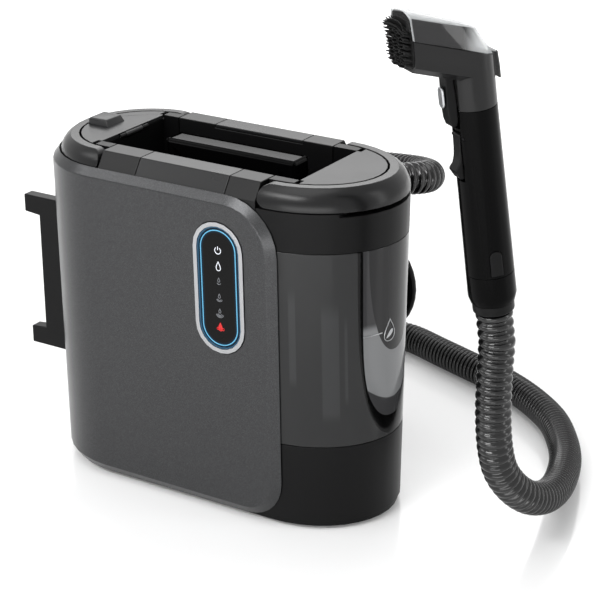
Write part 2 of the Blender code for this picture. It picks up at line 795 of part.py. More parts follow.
class TankEnd:
    """One end of the body: a tank that lifts out, with its top, its lid and its swing-up bail."""

    def __init__(self, side, name, lid_name, root):
        self.side = side
        self.name = name
        self.lid_name = lid_name
        deck_end = DECK_RIGHT if side > 0 else DECK_LEFT
        self.face = side * (abs(deck_end) + TANK_SPACE)
        self.chord = RECESS_RIGHT if side > 0 else RECESS_LEFT
        self.bail_rise = (RIM_TOP - BAIL_BOTTOM) / 2
        pivot = (self.face + side * self.bail_rise, 0, RIM_TOP - self.bail_rise)
        self.pivot = drafted_point(pivot)
        self.hinge_x = self.chord + side * GAP
        self.hinge_z = RIM_TOP - LID_THICKNESS
        self.body = group(f"{name}_lift", root, (self.face, 0, BASE_TOP))
        self.bail_body = group(f"{name}_bail_swing", self.body, self.pivot)
        hinge = drafted_point((self.hinge_x, 0, self.hinge_z))
        self.lid_body = group(f"{lid_name}_hinge", self.body, hinge)

    def outline(self, half_width, inset=0.0, cut_x=None):
        """The end's plan."""
        return end_outline(self.side, self.face if cut_x is None else cut_x, half_width, inset)

    def tank(self, *extra_cuts):
        """The open-topped tank."""
        low, high = BASE_TOP + GAP, TANK_TOP - GAP
        shell = prism(self.outline(HALF_WIDTH), low, high)
        cut(shell, prism(self.outline(HALF_WIDTH, SKIN), low + TANK_FLOOR, high + OVERRUN), *extra_cuts)
        node(drafted(shell), self.name, "smoke_clear", self.body)

    def knuckle(self, radius, low, high):
        """A cylinder on the lid's hinge line."""
        return rod((self.hinge_x, self.hinge_z), radius, low, high, "Y", DISPLAY_STEPS)

    def collar(self):
        """The tank's black top, with a ledge for the bail, a boss for the lid and a well through it."""
        side, ledge = self.side, BAIL_BOTTOM - BAIL_GAP
        boss_half = BAIL_INNER - BAIL_SIDE_GAP
        collar = prism(self.outline(HALF_WIDTH), TANK_TOP, RIM_TOP)
        far = side * (END_CENTRE + RIGHT_REACH + OVERRUN)
        wide = HALF_WIDTH + OVERRUN
        near = self.face - side * OVERRUN
        round_boss = box((min(near, far), -wide, ledge), (max(near, far), wide, RIM_TOP + OVERRUN))
        start, reach = side * BAIL_SLOT_START, far + side * SKIN
        slot = box(
            (min(start, reach), -wide - SKIN, ledge - BAIL_SLOT_DEPTH),
            (max(start, reach), wide + SKIN, ledge + BAIL_SLOT_DEPTH),
        )
        fuse(round_boss, slot)
        boss = self.inner_outline(boss_half, 2 * OVERRUN)
        cut(round_boss, prism(boss, TANK_TOP, RIM_TOP + 2 * OVERRUN))
        notch = box(
            (min(near, self.chord), -RECESS_HALF, DECK_FLOOR + NOTCH_FLOOR),
            (max(near, self.chord), RECESS_HALF, RIM_TOP + OVERRUN),
        )
        seat = box(
            (min(self.chord, far), -wide, self.hinge_z - GAP),
            (max(self.chord, far), wide, RIM_TOP + OVERRUN),
        )
        well_cut = self.chord + side * FILL_WALL
        well = prism(self.outline(boss_half - FILL_WALL, 0, well_cut), TANK_TOP - OVERRUN, RIM_TOP)
        cut(collar, round_boss, notch, seat, well)
        free_half = LID_KNUCKLE_HALF + GAP
        cut(collar, self.knuckle(LID_KNUCKLE_RADIUS + RUNNING_GAP, -free_half, free_half))
        for s in (-1, 1):
            reach = sorted((s * (LID_KNUCKLE_HALF + RUNNING_GAP), s * LID_PIN_HALF))
            fuse(collar, self.knuckle(LID_KNUCKLE_RADIUS, *reach))
        cut(collar, self.knuckle(LID_PIN_RADIUS + GAP, -LID_PIN_HALF - GAP, LID_PIN_HALF + GAP))
        centre = (self.face + side * self.bail_rise, RIM_TOP - self.bail_rise)
        for s in (-1, 1):
            reach = sorted((s * (boss_half - SKIN), s * (boss_half + BAIL_PIN_LENGTH)))
            fuse(collar, rod(centre, BAIL_PIN_RADIUS, *reach, "Y", DISPLAY_STEPS))
        node(drafted(collar), f"{self.name}_collar", "black_satin", self.body)

    def bail(self):
        """The U-shaped ring round the lid, with round ends on two pins."""
        side = self.side
        panel_gap = PANEL_SIDE_GAP if side < 0 else 0
        rings = [
            [(x, y, BAIL_BOTTOM + rise) for x, y in self.outline(HALF_WIDTH - max(inset, panel_gap))]
            for rise, inset in BAIL_EDGE
        ]
        ring = loft(rings)
        inside = self.inner_outline(BAIL_INNER, OVERRUN)
        cut(ring, prism(inside, BAIL_BOTTOM - OVERRUN, RIM_TOP + OVERRUN))
        centre = (self.face + side * self.bail_rise, RIM_TOP - self.bail_rise)
        wide = HALF_WIDTH + OVERRUN
        near = self.face - side * OVERRUN
        corner = box(
            (min(near, centre[0]), -wide, BAIL_BOTTOM - OVERRUN),
            (max(near, centre[0]), wide, RIM_TOP + OVERRUN),
        )
        cut(corner, rod(centre, self.bail_rise, -wide - OVERRUN, wide + OVERRUN, "Y"))
        cut(ring, corner)
        for s in (-1, 1):
            reach = sorted((s * (BAIL_INNER - OVERRUN), s * (BAIL_INNER + BAIL_PIN_LENGTH)))
            cut(ring, rod(centre, BAIL_PIN_RADIUS + GAP, *reach, "Y", DISPLAY_STEPS))
        node(drafted(ring), f"{self.name}_bail", "deck_grey", self.bail_body)

    def inner_outline(self, half_width, past):
        """The plan of what the bail lies round, run on past the end's straight cut."""
        points = self.outline(half_width)
        (_, y0), (_, y1) = points[0], points[-1]
        near = self.face - self.side * past
        return [(near, y0)] + points[1:-1] + [(near, y1)]

    def lid(self, tab):
        """The D-shaped lid, with a knuckle on its straight edge."""
        side = self.side
        lid = prism(self.outline(BAIL_INNER - LID_INSET, 0, self.hinge_x), self.hinge_z, RIM_TOP)
        back = sorted((self.hinge_x - side * OVERRUN, self.hinge_x + side * (LID_THICKNESS + LID_CORNER_GAP)))
        for s in (-1, 1):
            reach = sorted((s * (RECESS_HALF - GAP), s * BAIL_INNER))
            cut(lid, box((back[0], reach[0], 0), (back[1], reach[1], RIM_TOP + OVERRUN)))
        for s in (-1, 1):
            reach = sorted((s * LID_KNUCKLE_HALF, s * (LID_PIN_HALF + RUNNING_GAP)))
            cut(lid, self.knuckle(LID_KNUCKLE_RADIUS + RUNNING_GAP, *reach))
        fuse(lid, self.knuckle(LID_KNUCKLE_RADIUS, -LID_KNUCKLE_HALF, LID_KNUCKLE_HALF))
        cut(lid, self.knuckle(LID_PIN_RADIUS + GAP, -LID_PIN_HALF, LID_PIN_HALF))
        if tab:
            middle = RIM_TOP - LID_THICKNESS / 2
            wedge = [
                (side * LID_TAB_START, middle),
                (side * (LID_TAB_START + LID_TAB_DEPTH / 2), RIM_TOP + LID_TAB_HEIGHT),
                (side * (LID_TAB_START + LID_TAB_DEPTH), RIM_TOP + LID_TAB_HEIGHT),
                (side * (LID_TAB_START + LID_TAB_DEPTH), middle),
            ]
            fuse(lid, prism(wedge, -LID_TAB_WIDTH / 2, LID_TAB_WIDTH / 2, "Y"))
        node(drafted(lid), self.lid_name, "deck_grey", self.lid_body)
        pin = self.knuckle(LID_PIN_RADIUS, -LID_PIN_HALF, LID_PIN_HALF)
        node(drafted(pin), f"{self.lid_name}_pin", "bare_steel", self.body)


def tank_fittings(clean, waste):
    """The clean tank's outlet valve, and the waste tank's inlet tube with the float that rides on it."""
    low = BASE_TOP + GAP
    stem = VALVE_HOLE_RADIUS - RUNNING_GAP
    place = drafted_point((VALVE_X, 0, low))
    valve = rod(place.xy, stem, low, low + TANK_FLOOR + VALVE_FLANGE_THICKNESS)
    flange_low = low + TANK_FLOOR + GAP
    fuse(valve, rod(place.xy, VALVE_FLANGE_RADIUS, flange_low, flange_low + VALVE_FLANGE_THICKNESS))
    node(valve, "tank_valve", "rubber_black", group("tank_valve_lift", clean.body, place))
    top = TANK_TOP - GAP
    tube = rod((TUBE_X, 0), TUBE_RADIUS, TUBE_BOTTOM, top)
    fuse(tube, rod((TUBE_X, 0), TUBE_FLANGE_RADIUS, top - TUBE_FLANGE_THICKNESS, top))
    fuse(tube, rod((TUBE_X, 0), TUBE_FLANGE_RADIUS, TUBE_BOTTOM, TUBE_BOTTOM + TUBE_FLANGE_THICKNESS))
    cut(tube, rod((TUBE_X, 0), TUBE_RADIUS - SKIN, TUBE_BOTTOM - OVERRUN, top + OVERRUN))
    node(tube, "separator_tube", "inner_plastic", waste.body)
    rest = TUBE_BOTTOM + TUBE_FLANGE_THICKNESS + GAP
    ring = rod((TUBE_X, 0), FLOAT_RADIUS, rest, rest + FLOAT_HEIGHT)
    cut(ring, rod((TUBE_X, 0), TUBE_RADIUS + RUNNING_GAP, rest - OVERRUN, rest + FLOAT_HEIGHT + OVERRUN))
    node(ring, "float", "inner_plastic", group("float_rise", waste.body, (TUBE_X, 0, rest)))


def machinery(parent):
    """The suction motor with its fan, the steam boiler, the water pump and the control board."""
    floor = BASE_TOP + GAP
    centre = (MOTOR_X, 0)
    mount_top = floor + MOUNT_HEIGHT
    node(rod(centre, MOTOR_RADIUS, floor, mount_top), "motor_mount", "rubber_black", parent)
    motor_low = mount_top + GAP
    motor_top = motor_low + MOTOR_HEIGHT
    fan_low = motor_top + FAN_RAISE
    motor = rod(centre, MOTOR_RADIUS, motor_low, motor_top)
    fuse(motor, rod(centre, SHAFT_RADIUS, motor_top - OVERRUN, fan_low + FAN_HEIGHT))
    node(motor, "suction_motor", "bare_steel", parent)
    fan = rod(centre, FAN_RADIUS, fan_low, fan_low + FAN_PLATE)
    fuse(fan, rod(centre, FAN_HUB_RADIUS, fan_low + FAN_PLATE / 2, fan_low + FAN_HEIGHT))
    for i in range(FAN_BLADES):
        blade = box(
            (FAN_HUB_RADIUS - FAN_PLATE, -FAN_BLADE_THICKNESS / 2, fan_low + FAN_PLATE / 2),
            (FAN_RADIUS - FAN_BLADE_THICKNESS, FAN_BLADE_THICKNESS / 2, fan_low + FAN_HEIGHT - FAN_PLATE),
        )
        turn = Matrix.Rotation(2 * math.pi * i / FAN_BLADES, 4, "Z")
        fuse(fan, moved(blade, Matrix.Translation((*centre, 0)) @ turn))
    cut(fan, rod(centre, SHAFT_RADIUS + GAP, fan_low - OVERRUN, fan_low + FAN_HEIGHT + OVERRUN))
    node(fan, "fan_impeller", "inner_plastic", group("fan_spin", parent, (*centre, fan_low)))
    cover_low = motor_top + GAP
    cover_top = fan_low + FAN_HEIGHT + FAN_RAISE + FAN_PLATE
    cover = rod(centre, MOTOR_RADIUS, cover_low, cover_top)
    cut(
        cover,
        rod(centre, FAN_RADIUS + RUNNING_GAP, cover_low - OVERRUN, cover_top - FAN_PLATE),
        rod(centre, FAN_EYE_RADIUS, cover_low, cover_top + OVERRUN),
    )
    node(cover, "fan_cover", "black_satin", parent)
    boiler_top = floor + BOILER_HEIGHT
    boiler = box((BOILER_LEFT, BOILER_FRONT, floor), (BOILER_RIGHT, BOILER_BACK, boiler_top))
    bevelled(boiler, BOILER_ROUND)
    port = ((BOILER_LEFT + BOILER_RIGHT) / 2, (BOILER_FRONT + BOILER_BACK) / 2)
    fuse(boiler, rod(port, BOILER_PORT_RADIUS, boiler_top - OVERRUN, boiler_top + BOILER_PORT_HEIGHT))
    node(boiler, "steam_boiler", "cast_alloy", parent)
    axis = (PUMP_Y, floor + PUMP_FOOT + PUMP_RADIUS)
    pump = rod(axis, PUMP_RADIUS, PUMP_LEFT, PUMP_RIGHT, "X")
    nozzle_end = PUMP_RIGHT + PUMP_NOZZLE_LENGTH
    fuse(pump, rod(axis, PUMP_NOZZLE_RADIUS, PUMP_RIGHT - OVERRUN, nozzle_end, "X"))
    wide = PUMP_RADIUS / 2
    low = (PUMP_LEFT + OVERRUN, PUMP_Y - wide, floor)
    fuse(pump, box(low, (PUMP_RIGHT - OVERRUN, PUMP_Y + wide, axis[1])))
    node(pump, "water_pump", "inner_plastic", parent)
    front = -(HALF_WIDTH - SKIN - GAP) + GAP
    board = box((BOARD_LEFT, front, BOARD_LOW), (BOARD_RIGHT, front + BOARD_THICKNESS, BOARD_HIGH))
    node(drafted(board), "control_board", "board_green", parent)


def outlet_back():
    """How far back the panel's outer face is at the hose outlet."""
    return (HALF_WIDTH + PANEL_STAND) * draft_at(OUTLET_Z)


def hose_start():
    """Where the hose leaves the outlet, running towards +X."""
    return (OUTLET_X + OUTLET_BEND + OUTLET_COLLAR, outlet_back() + OUTLET_REACH, OUTLET_Z)


def back_fittings(parent):
    """The hose outlet, the hub that the power cord is wound on, and the cord's gland."""
    back = HALF_WIDTH + PANEL_STAND
    spot = (OUTLET_X, OUTLET_Z)
    flange = rod(spot, OUTLET_FLANGE_RADIUS, back + GAP, back + OUTLET_FLANGE_THICKNESS, "Y")
    fuse(flange, rod(spot, OUTLET_RADIUS, back - OUTLET_SPIGOT, back + OUTLET_FLANGE_THICKNESS / 2, "Y"))
    drafted(flange)
    end_x, line_y, _ = hose_start()
    corner = (OUTLET_X + OUTLET_BEND, line_y - OUTLET_BEND)
    bend = arc(corner, (OUTLET_BEND, OUTLET_BEND), 180, 90, CORNER_STEPS)
    collar_x = end_x - OUTLET_COLLAR
    first = (OUTLET_X, outlet_back() + OUTLET_FLANGE_THICKNESS / 2)
    path = [(x, y, OUTLET_Z) for x, y in [first, *bend, (end_x, line_y)]]
    elbow = tube_along(path, [OUTLET_RADIUS] * len(path), ELBOW_RESOLUTION)
    collar = rod((line_y, OUTLET_Z), OUTLET_RADIUS + SKIN, collar_x, end_x - GAP, "X")
    bore = HOSE_BORE_RADIUS + RUNNING_GAP
    path = [(OUTLET_X, outlet_back() - OUTLET_SPIGOT - OVERRUN, OUTLET_Z), *path[1:-1]]
    path.append((end_x + OVERRUN, line_y, OUTLET_Z))
    fuse(flange, elbow, collar)
    cut(flange, tube_along(path, [bore] * len(path), ELBOW_RESOLUTION))
    trimmed = box((end_x - GAP, 0, 0), (end_x + OVERRUN, line_y + OUTLET_REACH, RIM_TOP))
    node(cut(flange, trimmed), "hose_outlet", "black_satin", parent)
    hub = (HUB_X, HUB_Z)
    stem = drafted(rod(hub, HUB_STEM_RADIUS, back + GAP, back + HUB_REACH - HUB_FLANGE_THICKNESS / 2, "Y"))
    reach = back * draft_at(HUB_Z) + HUB_REACH
    disc = rod(hub, HUB_FLANGE_RADIUS, reach - HUB_FLANGE_THICKNESS, reach, "Y", HUB_STEPS)
    node(fuse(stem, bevelled(disc, CLEAT_BEVEL)), "cable_hub", "black_satin", parent)
    gland = loft(
        [
            [(x, y, z) for x, z in circle((GLAND_X, GLAND_Z), radius)]
            for radius, y in (
                (GLAND_RADIUS, back + GAP),
                (GLAND_RADIUS * GLAND_TIP_SHARE, back + GLAND_LENGTH),
            )
        ]
    )
    node(drafted(gland), "cord_gland", "rubber_black", parent)


def cleat(parent):
    """The upright plate on the left end, with a prong at its top and one at its foot."""
    root = -(END_CENTRE + PANEL_LEFT_REACH + GAP)
    outline = [
        (root, CLEAT_BOTTOM),
        (root, CLEAT_TOP),
        (CLEAT_TIP_X, CLEAT_TOP),
        (CLEAT_TIP_X, CLEAT_TOP - CLEAT_PRONG),
        (CLEAT_WEB_X, CLEAT_TOP - CLEAT_PRONG - CLEAT_BEVEL),
        (CLEAT_WEB_X, CLEAT_BOTTOM + CLEAT_PRONG + CLEAT_BEVEL),
        (CLEAT_TIP_X, CLEAT_BOTTOM + CLEAT_PRONG),
        (CLEAT_TIP_X, CLEAT_BOTTOM),
    ]
    plate = bevelled(prism(outline, -CLEAT_HALF_THICKNESS, CLEAT_HALF_THICKNESS, "Y"), CLEAT_BEVEL / 2)
    node(plate, "side_cleat", "black_satin", parent)


def frames():
    """The handset's frames: upright, along its grip from the hose's end, and along its head."""
    upright = Matrix.Translation((HANDSET_X, HANDSET_Y, 0)) @ Matrix.Rotation(HANDSET_TURN, 4, "Z")
    grip = upright @ Matrix.Translation((0, 0, HANDSET_Z)) @ Matrix.Rotation(GRIP_LEAN, 4, "Y")
    head = upright @ Matrix.Translation((HEAD_X, 0, HEAD_Z)) @ Matrix.Rotation(-HEAD_RISE, 4, "Y")
    return grip, head


def hose_line():
    """The hose's centreline, with straight ends one hose width long."""
    width = 2 * HOSE_RADIUS
    x, y, z = hose_start()
    grip, _ = frames()
    ends = [grip @ Vector((0, 0, -width)), grip @ Vector((0, 0, 0))]
    inner = smooth_route([(x + width, y, z), *HOSE_ROUTE, tuple(ends[0])])
    return np.array([(x, y, z), *inner, tuple(ends[1])])


def hose(parent):
    """The ribbed hose with its bore."""
    line = hose_line()
    length = np.linalg.norm(np.diff(line, axis=0), axis=1).sum()
    ribs = round(length / RIB_PITCH)
    spots = spaced(line, 2 * ribs)
    valley = HOSE_RADIUS * HOSE_VALLEY_SHARE
    radii = [valley if i % 2 else HOSE_RADIUS for i in range(len(spots))]
    tube = tube_along(spots, radii, 2)
    core_line = spaced(line, ribs)
    core_line[0] += (core_line[0] - core_line[1]) / 2
    core_line[-1] += (core_line[-1] - core_line[-2]) / 2
    cut(tube, tube_along(core_line, [HOSE_BORE_RADIUS] * len(core_line), 1))
    node(tube, "hose", "hose_grey", parent)


def grip_radius(along):
    """The grip's radius at a distance along it: it flares a little towards the hose."""
    return GRIP_RADIUS + GRIP_FLARE * (SHELL_TOP - along) / (SHELL_TOP - CUFF_TOP)


def turned(profile):
    """A solid through level circles, given as radii and heights."""
    return loft([[(x, y, z) for x, y in circle((0, 0), radius)] for radius, z in profile])


def grip_body(low, high, grow):
    """A solid length of the grip, made thicker or thinner all round."""
    return turned([(grip_radius(z) + grow, z) for z in (low, high)])


def grip_parts(parent, grip):
    """The ring and cuff where the hose ends, the grip's halves and duct, and the cuff's release."""

    def placed(shape, name, finish, where=parent):
        return node(moved(shape, grip), name, finish, where)

    bore = DUCT_RADIUS + GAP
    ring = bevelled(rod((0, 0), RING_RADIUS, GAP, RING_HEIGHT), RUNNING_GAP)
    placed(cut(ring, rod((0, 0), bore, -OVERRUN, RING_HEIGHT + OVERRUN)), "cuff_ring", "black_satin")
    cuff_low = RING_HEIGHT + GAP
    cuff = turned(
        [
            (CUFF_WAIST, cuff_low),
            (grip_radius(CUFF_SHOULDER), CUFF_SHOULDER),
            (grip_radius(CUFF_TOP), CUFF_TOP),
        ]
    )
    cut(cuff, rod((0, 0), bore, cuff_low - OVERRUN, CUFF_TOP + OVERRUN))
    placed(cuff, "hose_cuff", "black_satin")
    duct = rod((0, 0), DUCT_RADIUS, RING_HEIGHT / 2, DUCT_TOP)
    cut(duct, rod((0, 0), DUCT_RADIUS - DUCT_WALL, 0, DUCT_TOP + OVERRUN))
    placed(duct, "handset_duct", "inner_plastic")
    low = CUFF_TOP + GAP
    turn = Matrix.Rotation(RELEASE_ANGLE, 4, "Z")

    def release(grow):
        half = RELEASE_HALF + grow
        crown = arc((0, RELEASE_HIGH - RELEASE_HALF), (half, half), 0, 180, CORNER_STEPS)
        return [(half, RELEASE_LOW - grow), *crown, (-half, RELEASE_LOW - grow)]

    for side, name in ((1, "grip_half_near"), (-1, "grip_half_far")):
        half = grip_body(low, SHELL_TOP, 0)
        wide = GRIP_RADIUS + OVERRUN
        other = sorted((side * GAP / 2, -side * wide))
        cut(
            half,
            grip_body(low - OVERRUN, SHELL_TOP + OVERRUN, -GRIP_WALL),
            box((-wide, other[0], low - OVERRUN), (wide, other[1], SHELL_TOP + OVERRUN)),
            *trigger_slots(),
        )
        if side > 0:
            cut(half, moved(prism(release(GAP), DUCT_RADIUS, wide, "X"), turn))
        placed(half, name, "black_satin")
    pad = grip_body(RELEASE_LOW - OVERRUN, RELEASE_HIGH + OVERRUN, RELEASE_PROUD)
    cut(pad, grip_body(low - OVERRUN, SHELL_TOP, -GRIP_WALL))
    key = prism(release(0), DUCT_RADIUS, GRIP_RADIUS + OVERRUN, "X")
    combine(pad, [moved(key, turn)], "INTERSECT")
    spot = grip @ turn @ Vector((GRIP_RADIUS, 0, RELEASE_LOW))
    placed(pad, "cuff_release", "black_satin", group("cuff_release_press", parent, spot))


def trigger_slots():
    """The slots that the two triggers and their pins sit in, in the grip's frame."""
    reach = GRIP_RADIUS + 2 * SPRAY_SLOT_BACK
    half = TRIGGER_SLOT_HALF
    slots = [
        box((SPRAY_SLOT_BACK, -half, SPRAY_SLOT_LOW), (reach, half, SPRAY_SLOT_HIGH)),
        box((STEAM_SLOT_BACK, -half, STEAM_SLOT_LOW), (reach, half, STEAM_SLOT_HIGH)),
    ]
    for pivot, pin_half in ((SPRAY_PIVOT, SPRAY_PIN_HALF), (STEAM_PIVOT, STEAM_PIN_HALF)):
        slots.append(rod(pivot, PIN_RADIUS + GAP, -pin_half - GAP, pin_half + GAP, "Y", DISPLAY_STEPS))
    return slots


def triggers(parent, grip):
    """The two triggers on their pins, and the pale cap on the upper one."""
    rows = (
        ("spray_trigger", SPRAY_OUTLINE, SPRAY_PIVOT, SPRAY_PIN_HALF),
        ("steam_trigger", STEAM_OUTLINE, STEAM_PIVOT, STEAM_PIN_HALF),
    )
    for name, outline, pivot, pin_half in rows:
        where = group(f"{name}_pull", parent, grip @ Vector((pivot[0], 0, pivot[1])))
        lever = bevelled(prism(outline, -TRIGGER_HALF, TRIGGER_HALF, "Y"), RUNNING_GAP)
        reach = TRIGGER_HALF + OVERRUN
        cut(lever, rod(pivot, PIN_RADIUS + GAP, -reach, reach, "Y", DISPLAY_STEPS))
        node(moved(lever, grip), name, "black_satin", where)
        pin = rod(pivot, PIN_RADIUS, -pin_half, pin_half, "Y", DISPLAY_STEPS)
        node(moved(pin, grip), f"{name}_pin", "bare_steel", parent)
        if name == "spray_trigger":
            front = max(x for x, _ in outline) + GAP
            shape = obround((0, (CAP_LOW + CAP_HIGH) / 2), CAP_HALF, (CAP_HIGH - CAP_LOW) / 2)
            cap = bevelled(prism(shape, front, front + CAP_THICKNESS, "X"), RUNNING_GAP)
            node(moved(cap, grip), "spray_trigger_cap", "silver_ring", where)


def slanted(outline, x):
    """A section of the head, across it at a distance along it and leaning like the mouth."""
    return [(x + HEAD_SLANT_SHARE * z, y, z) for y, z in outline]


def head_section(half, depth=HEAD_DEPTH):
    """The black housing's section, run up past its top face."""
    side = [(half * wide, -depth * deep) for wide, deep in HEAD_SECTION_SHARES]
    return mirrored([(half, OVERRUN), *side[1:]])


def cover_section(low, corner, crown):
    """The clear cover's section: a slanted side up to its corner, and a low crown over the two corners."""
    top = [(corner[0] * wide, corner[1] + crown * high) for wide, high in COVER_CROWN_SHARES]
    return mirrored([low, corner, *top])


def head_parts(parent, grip, head):
    """The head: its black housing, clear cover, brush plate and spray nozzle."""
    housing = loft([slanted(head_section(half), x) for x, half in HEAD_STATIONS])
    neck = moved(rod((0, 0), GRIP_RADIUS, SHELL_TOP + GAP, NECK_TOP), grip)
    wide = GRIP_RADIUS + MOUTH
    above = box((-MOUTH, -wide, 0), (MOUTH + wide, wide, wide))
    channel = box((CHANNEL_START, -CHANNEL_HALF, -CHANNEL_DEPTH), (MOUTH, CHANNEL_HALF, OVERRUN))
    fuse(moved(housing, head), neck)
    cut(housing, moved(above, head), moved(channel, head))
    half, depth = HEAD_STATIONS[-1][1] - MOUTH_WALL, HEAD_DEPTH - MOUTH_WALL
    rear = MOUTH - BRUSH_THICKNESS
    pocket = loft([slanted(head_section(half, depth), x) for x in (rear - GAP, MOUTH + OVERRUN)])
    cut(housing, moved(pocket, head))
    bore = DUCT_RADIUS + GAP
    cut(housing, moved(rod((0, 0), bore, SHELL_TOP - OVERRUN, DUCT_TOP + GAP), grip))
    cut(housing, moved(rod((0, 0), bore - DUCT_WALL, DUCT_TOP - OVERRUN, SPRAY_SLOT_HIGH), grip))
    cut(housing, *[moved(slot, grip) for slot in trigger_slots()])
    node(housing, "head_housing", "black_satin", parent)

    outer, inner = [], []
    for x, low_half, top_half, top, crown in COVER_STATIONS:
        outer.append(slanted(cover_section((low_half, GAP), (top_half, top), crown), x))
        spread = (low_half - top_half) / top
        low_inner = low_half - COVER_WALL + spread * OVERRUN
        shift = COVER_WALL if x < 0 else OVERRUN if x == MOUTH else COVER_WALL / 2
        corner = (top_half - COVER_WALL, top - COVER_WALL)
        inner.append(slanted(cover_section((low_inner, -OVERRUN), corner, crown), x + shift))
    cover = cut(loft(outer), loft(inner))
    half_thick = normals(TAB_LINE) * TAB_THICKNESS / 2
    outline = [*(np.array(TAB_LINE) - half_thick), *(np.array(TAB_LINE) + half_thick)[::-1]]
    fuse(cover, prism(outline, -TAB_HALF, TAB_HALF, "Y"))
    lift = group("clear_cover_lift", parent, head @ Vector((0, 0, 0)))
    node(moved(cover, head), "clear_cover", "clear_cover", lift)

    side = [((half - GAP) * wide, -(depth - GAP) * deep) for wide, deep in HEAD_SECTION_SHARES]
    _, low_half, top_half, top, _ = COVER_STATIONS[-1]
    spread = (low_half - top_half) / top
    inside = [low_half - COVER_WALL - BRUSH_CLEAR - spread * z for z in (0, BRUSH_TOP)]
    side[0] = (half - GAP, -GAP)
    section = mirrored([(inside[1], BRUSH_TOP), (inside[0], -GAP), *side])
    brush = loft([slanted(section, x) for x in (rear, MOUTH)])
    for z in np.linspace(TOOTH_LOW, TOOTH_HIGH, TOOTH_ROWS):
        for y in np.linspace(-TOOTH_SPAN, TOOTH_SPAN, TOOTH_COLUMNS):
            face = MOUTH + HEAD_SLANT_SHARE * z
            root = face - TOOTH_LENGTH / 2
            fuse(brush, rod((y, z), TOOTH_RADIUS, root, face + TOOTH_LENGTH, "X", TOOTH_SIDES))
    nozzle_z = (TOOTH_LOW + TOOTH_HIGH) / 2
    start, face = rear + HEAD_SLANT_SHARE * nozzle_z, MOUTH + HEAD_SLANT_SHARE * nozzle_z
    spot = (0, nozzle_z)
    cut(brush, rod(spot, NOZZLE_RADIUS + GAP, start - OVERRUN, face + OVERRUN, "X"))
    node(moved(brush, head), "brush_head", "rubber_black", parent)
    nozzle = rod(spot, NOZZLE_RADIUS, start + TOOTH_RADIUS, face + NOZZLE_PROUD, "X")
    node(moved(nozzle, head), "spray_nozzle", "silver_ring", parent)


def normals(line):
    """A sideways direction at each point of a flat line."""
    spots = np.array(line)
    along = np.gradient(spots, axis=0)
    along /= np.linalg.norm(along, axis=1)[:, None]
    return np.stack([along[:, 1], -along[:, 0]], axis=1)


def centre_assembly(root, out):
    """Puts the middle of the object's box over the origin. The hose isn't measured."""
    bpy.context.view_layer.update()
    corners = [
        obj.matrix_world @ Vector(corner)
        for obj in bpy.data.objects
        if obj.type == "MESH" and obj.name not in out
        for corner in obj.bound_box
    ]
    low = Vector([min(c[i] for c in corners) for i in range(3)])
    high = Vector([max(c[i] for c in corners) for i in range(3)])
    middle = (low + high) / 2
    root.location = (-middle.x, -middle.y, 0)
    bpy.context.view_layer.update()


def main():
    """Builds the whole cleaner."""
    clear_scene()
    root = group("assembly")
    feet(root)
    base(root)
    wrap_panel(root)
    display(root)
    core(root)
    deck(root)
    clean = TankEnd(1, "clean_tank", "fill_lid", root)
    clean.tank(rod((VALVE_X, 0), VALVE_HOLE_RADIUS, BASE_TOP - OVERRUN, BASE_TOP + 2 * OVERRUN))
    waste = TankEnd(-1, "waste_tank", "waste_lid", root)
    waste.tank()
    for end in (clean, waste):
        end.collar()
        end.bail()
        end.lid(tab=end is waste)
    tank_fittings(clean, waste)
    machinery(root)
    back_fittings(root)
    cleat(root)
    hose(root)
    grip, head = frames()
    grip_parts(root, grip)
    triggers(root, grip)
    head_parts(root, grip, head)
    centre_assembly(root, out=("hose",))


main()
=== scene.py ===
"""The looks of a steam vacuum cleaner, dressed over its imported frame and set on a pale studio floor.

Every sub-assembly is a class that holds its own sizes and makes its own pieces. Lengths are in metres, in
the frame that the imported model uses, and places that follow the body are worked out from its fan's axis.
"""

from __future__ import annotations

import json
import logging
import math
from dataclasses import dataclass, field
from enum import Enum

import bmesh
import bpy
import numpy as np
from mathutils import Matrix, Vector

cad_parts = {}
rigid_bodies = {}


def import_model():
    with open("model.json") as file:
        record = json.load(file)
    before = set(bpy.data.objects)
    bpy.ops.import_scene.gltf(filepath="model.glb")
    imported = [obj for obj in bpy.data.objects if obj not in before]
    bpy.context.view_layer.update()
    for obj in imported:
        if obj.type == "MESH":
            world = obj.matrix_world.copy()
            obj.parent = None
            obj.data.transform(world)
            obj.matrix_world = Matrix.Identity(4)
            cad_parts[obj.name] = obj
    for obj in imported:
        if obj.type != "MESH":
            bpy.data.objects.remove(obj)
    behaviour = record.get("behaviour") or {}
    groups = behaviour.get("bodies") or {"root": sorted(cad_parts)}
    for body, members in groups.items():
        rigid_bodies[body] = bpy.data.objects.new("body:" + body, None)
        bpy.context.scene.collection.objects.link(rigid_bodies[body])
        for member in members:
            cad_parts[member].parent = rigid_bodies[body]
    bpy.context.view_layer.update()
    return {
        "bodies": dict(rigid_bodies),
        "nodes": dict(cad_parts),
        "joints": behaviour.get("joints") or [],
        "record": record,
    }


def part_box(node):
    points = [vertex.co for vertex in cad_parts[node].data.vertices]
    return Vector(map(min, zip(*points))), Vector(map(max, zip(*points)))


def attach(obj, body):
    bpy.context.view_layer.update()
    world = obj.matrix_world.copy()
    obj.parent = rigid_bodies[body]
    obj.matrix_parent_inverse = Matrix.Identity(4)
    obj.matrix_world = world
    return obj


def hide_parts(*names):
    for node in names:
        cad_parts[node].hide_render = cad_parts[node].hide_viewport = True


log = logging.getLogger("steam_cleaner")

Point = tuple[float, float, float]
Flat = tuple[float, float]
Wire = bpy.types.NodeSocket

WELD = 0.00001
FLAT_TURN = math.radians(0.6)
MOUTH_SLANT = 0.385
LIGHT_LINE_INSET = 0.0022


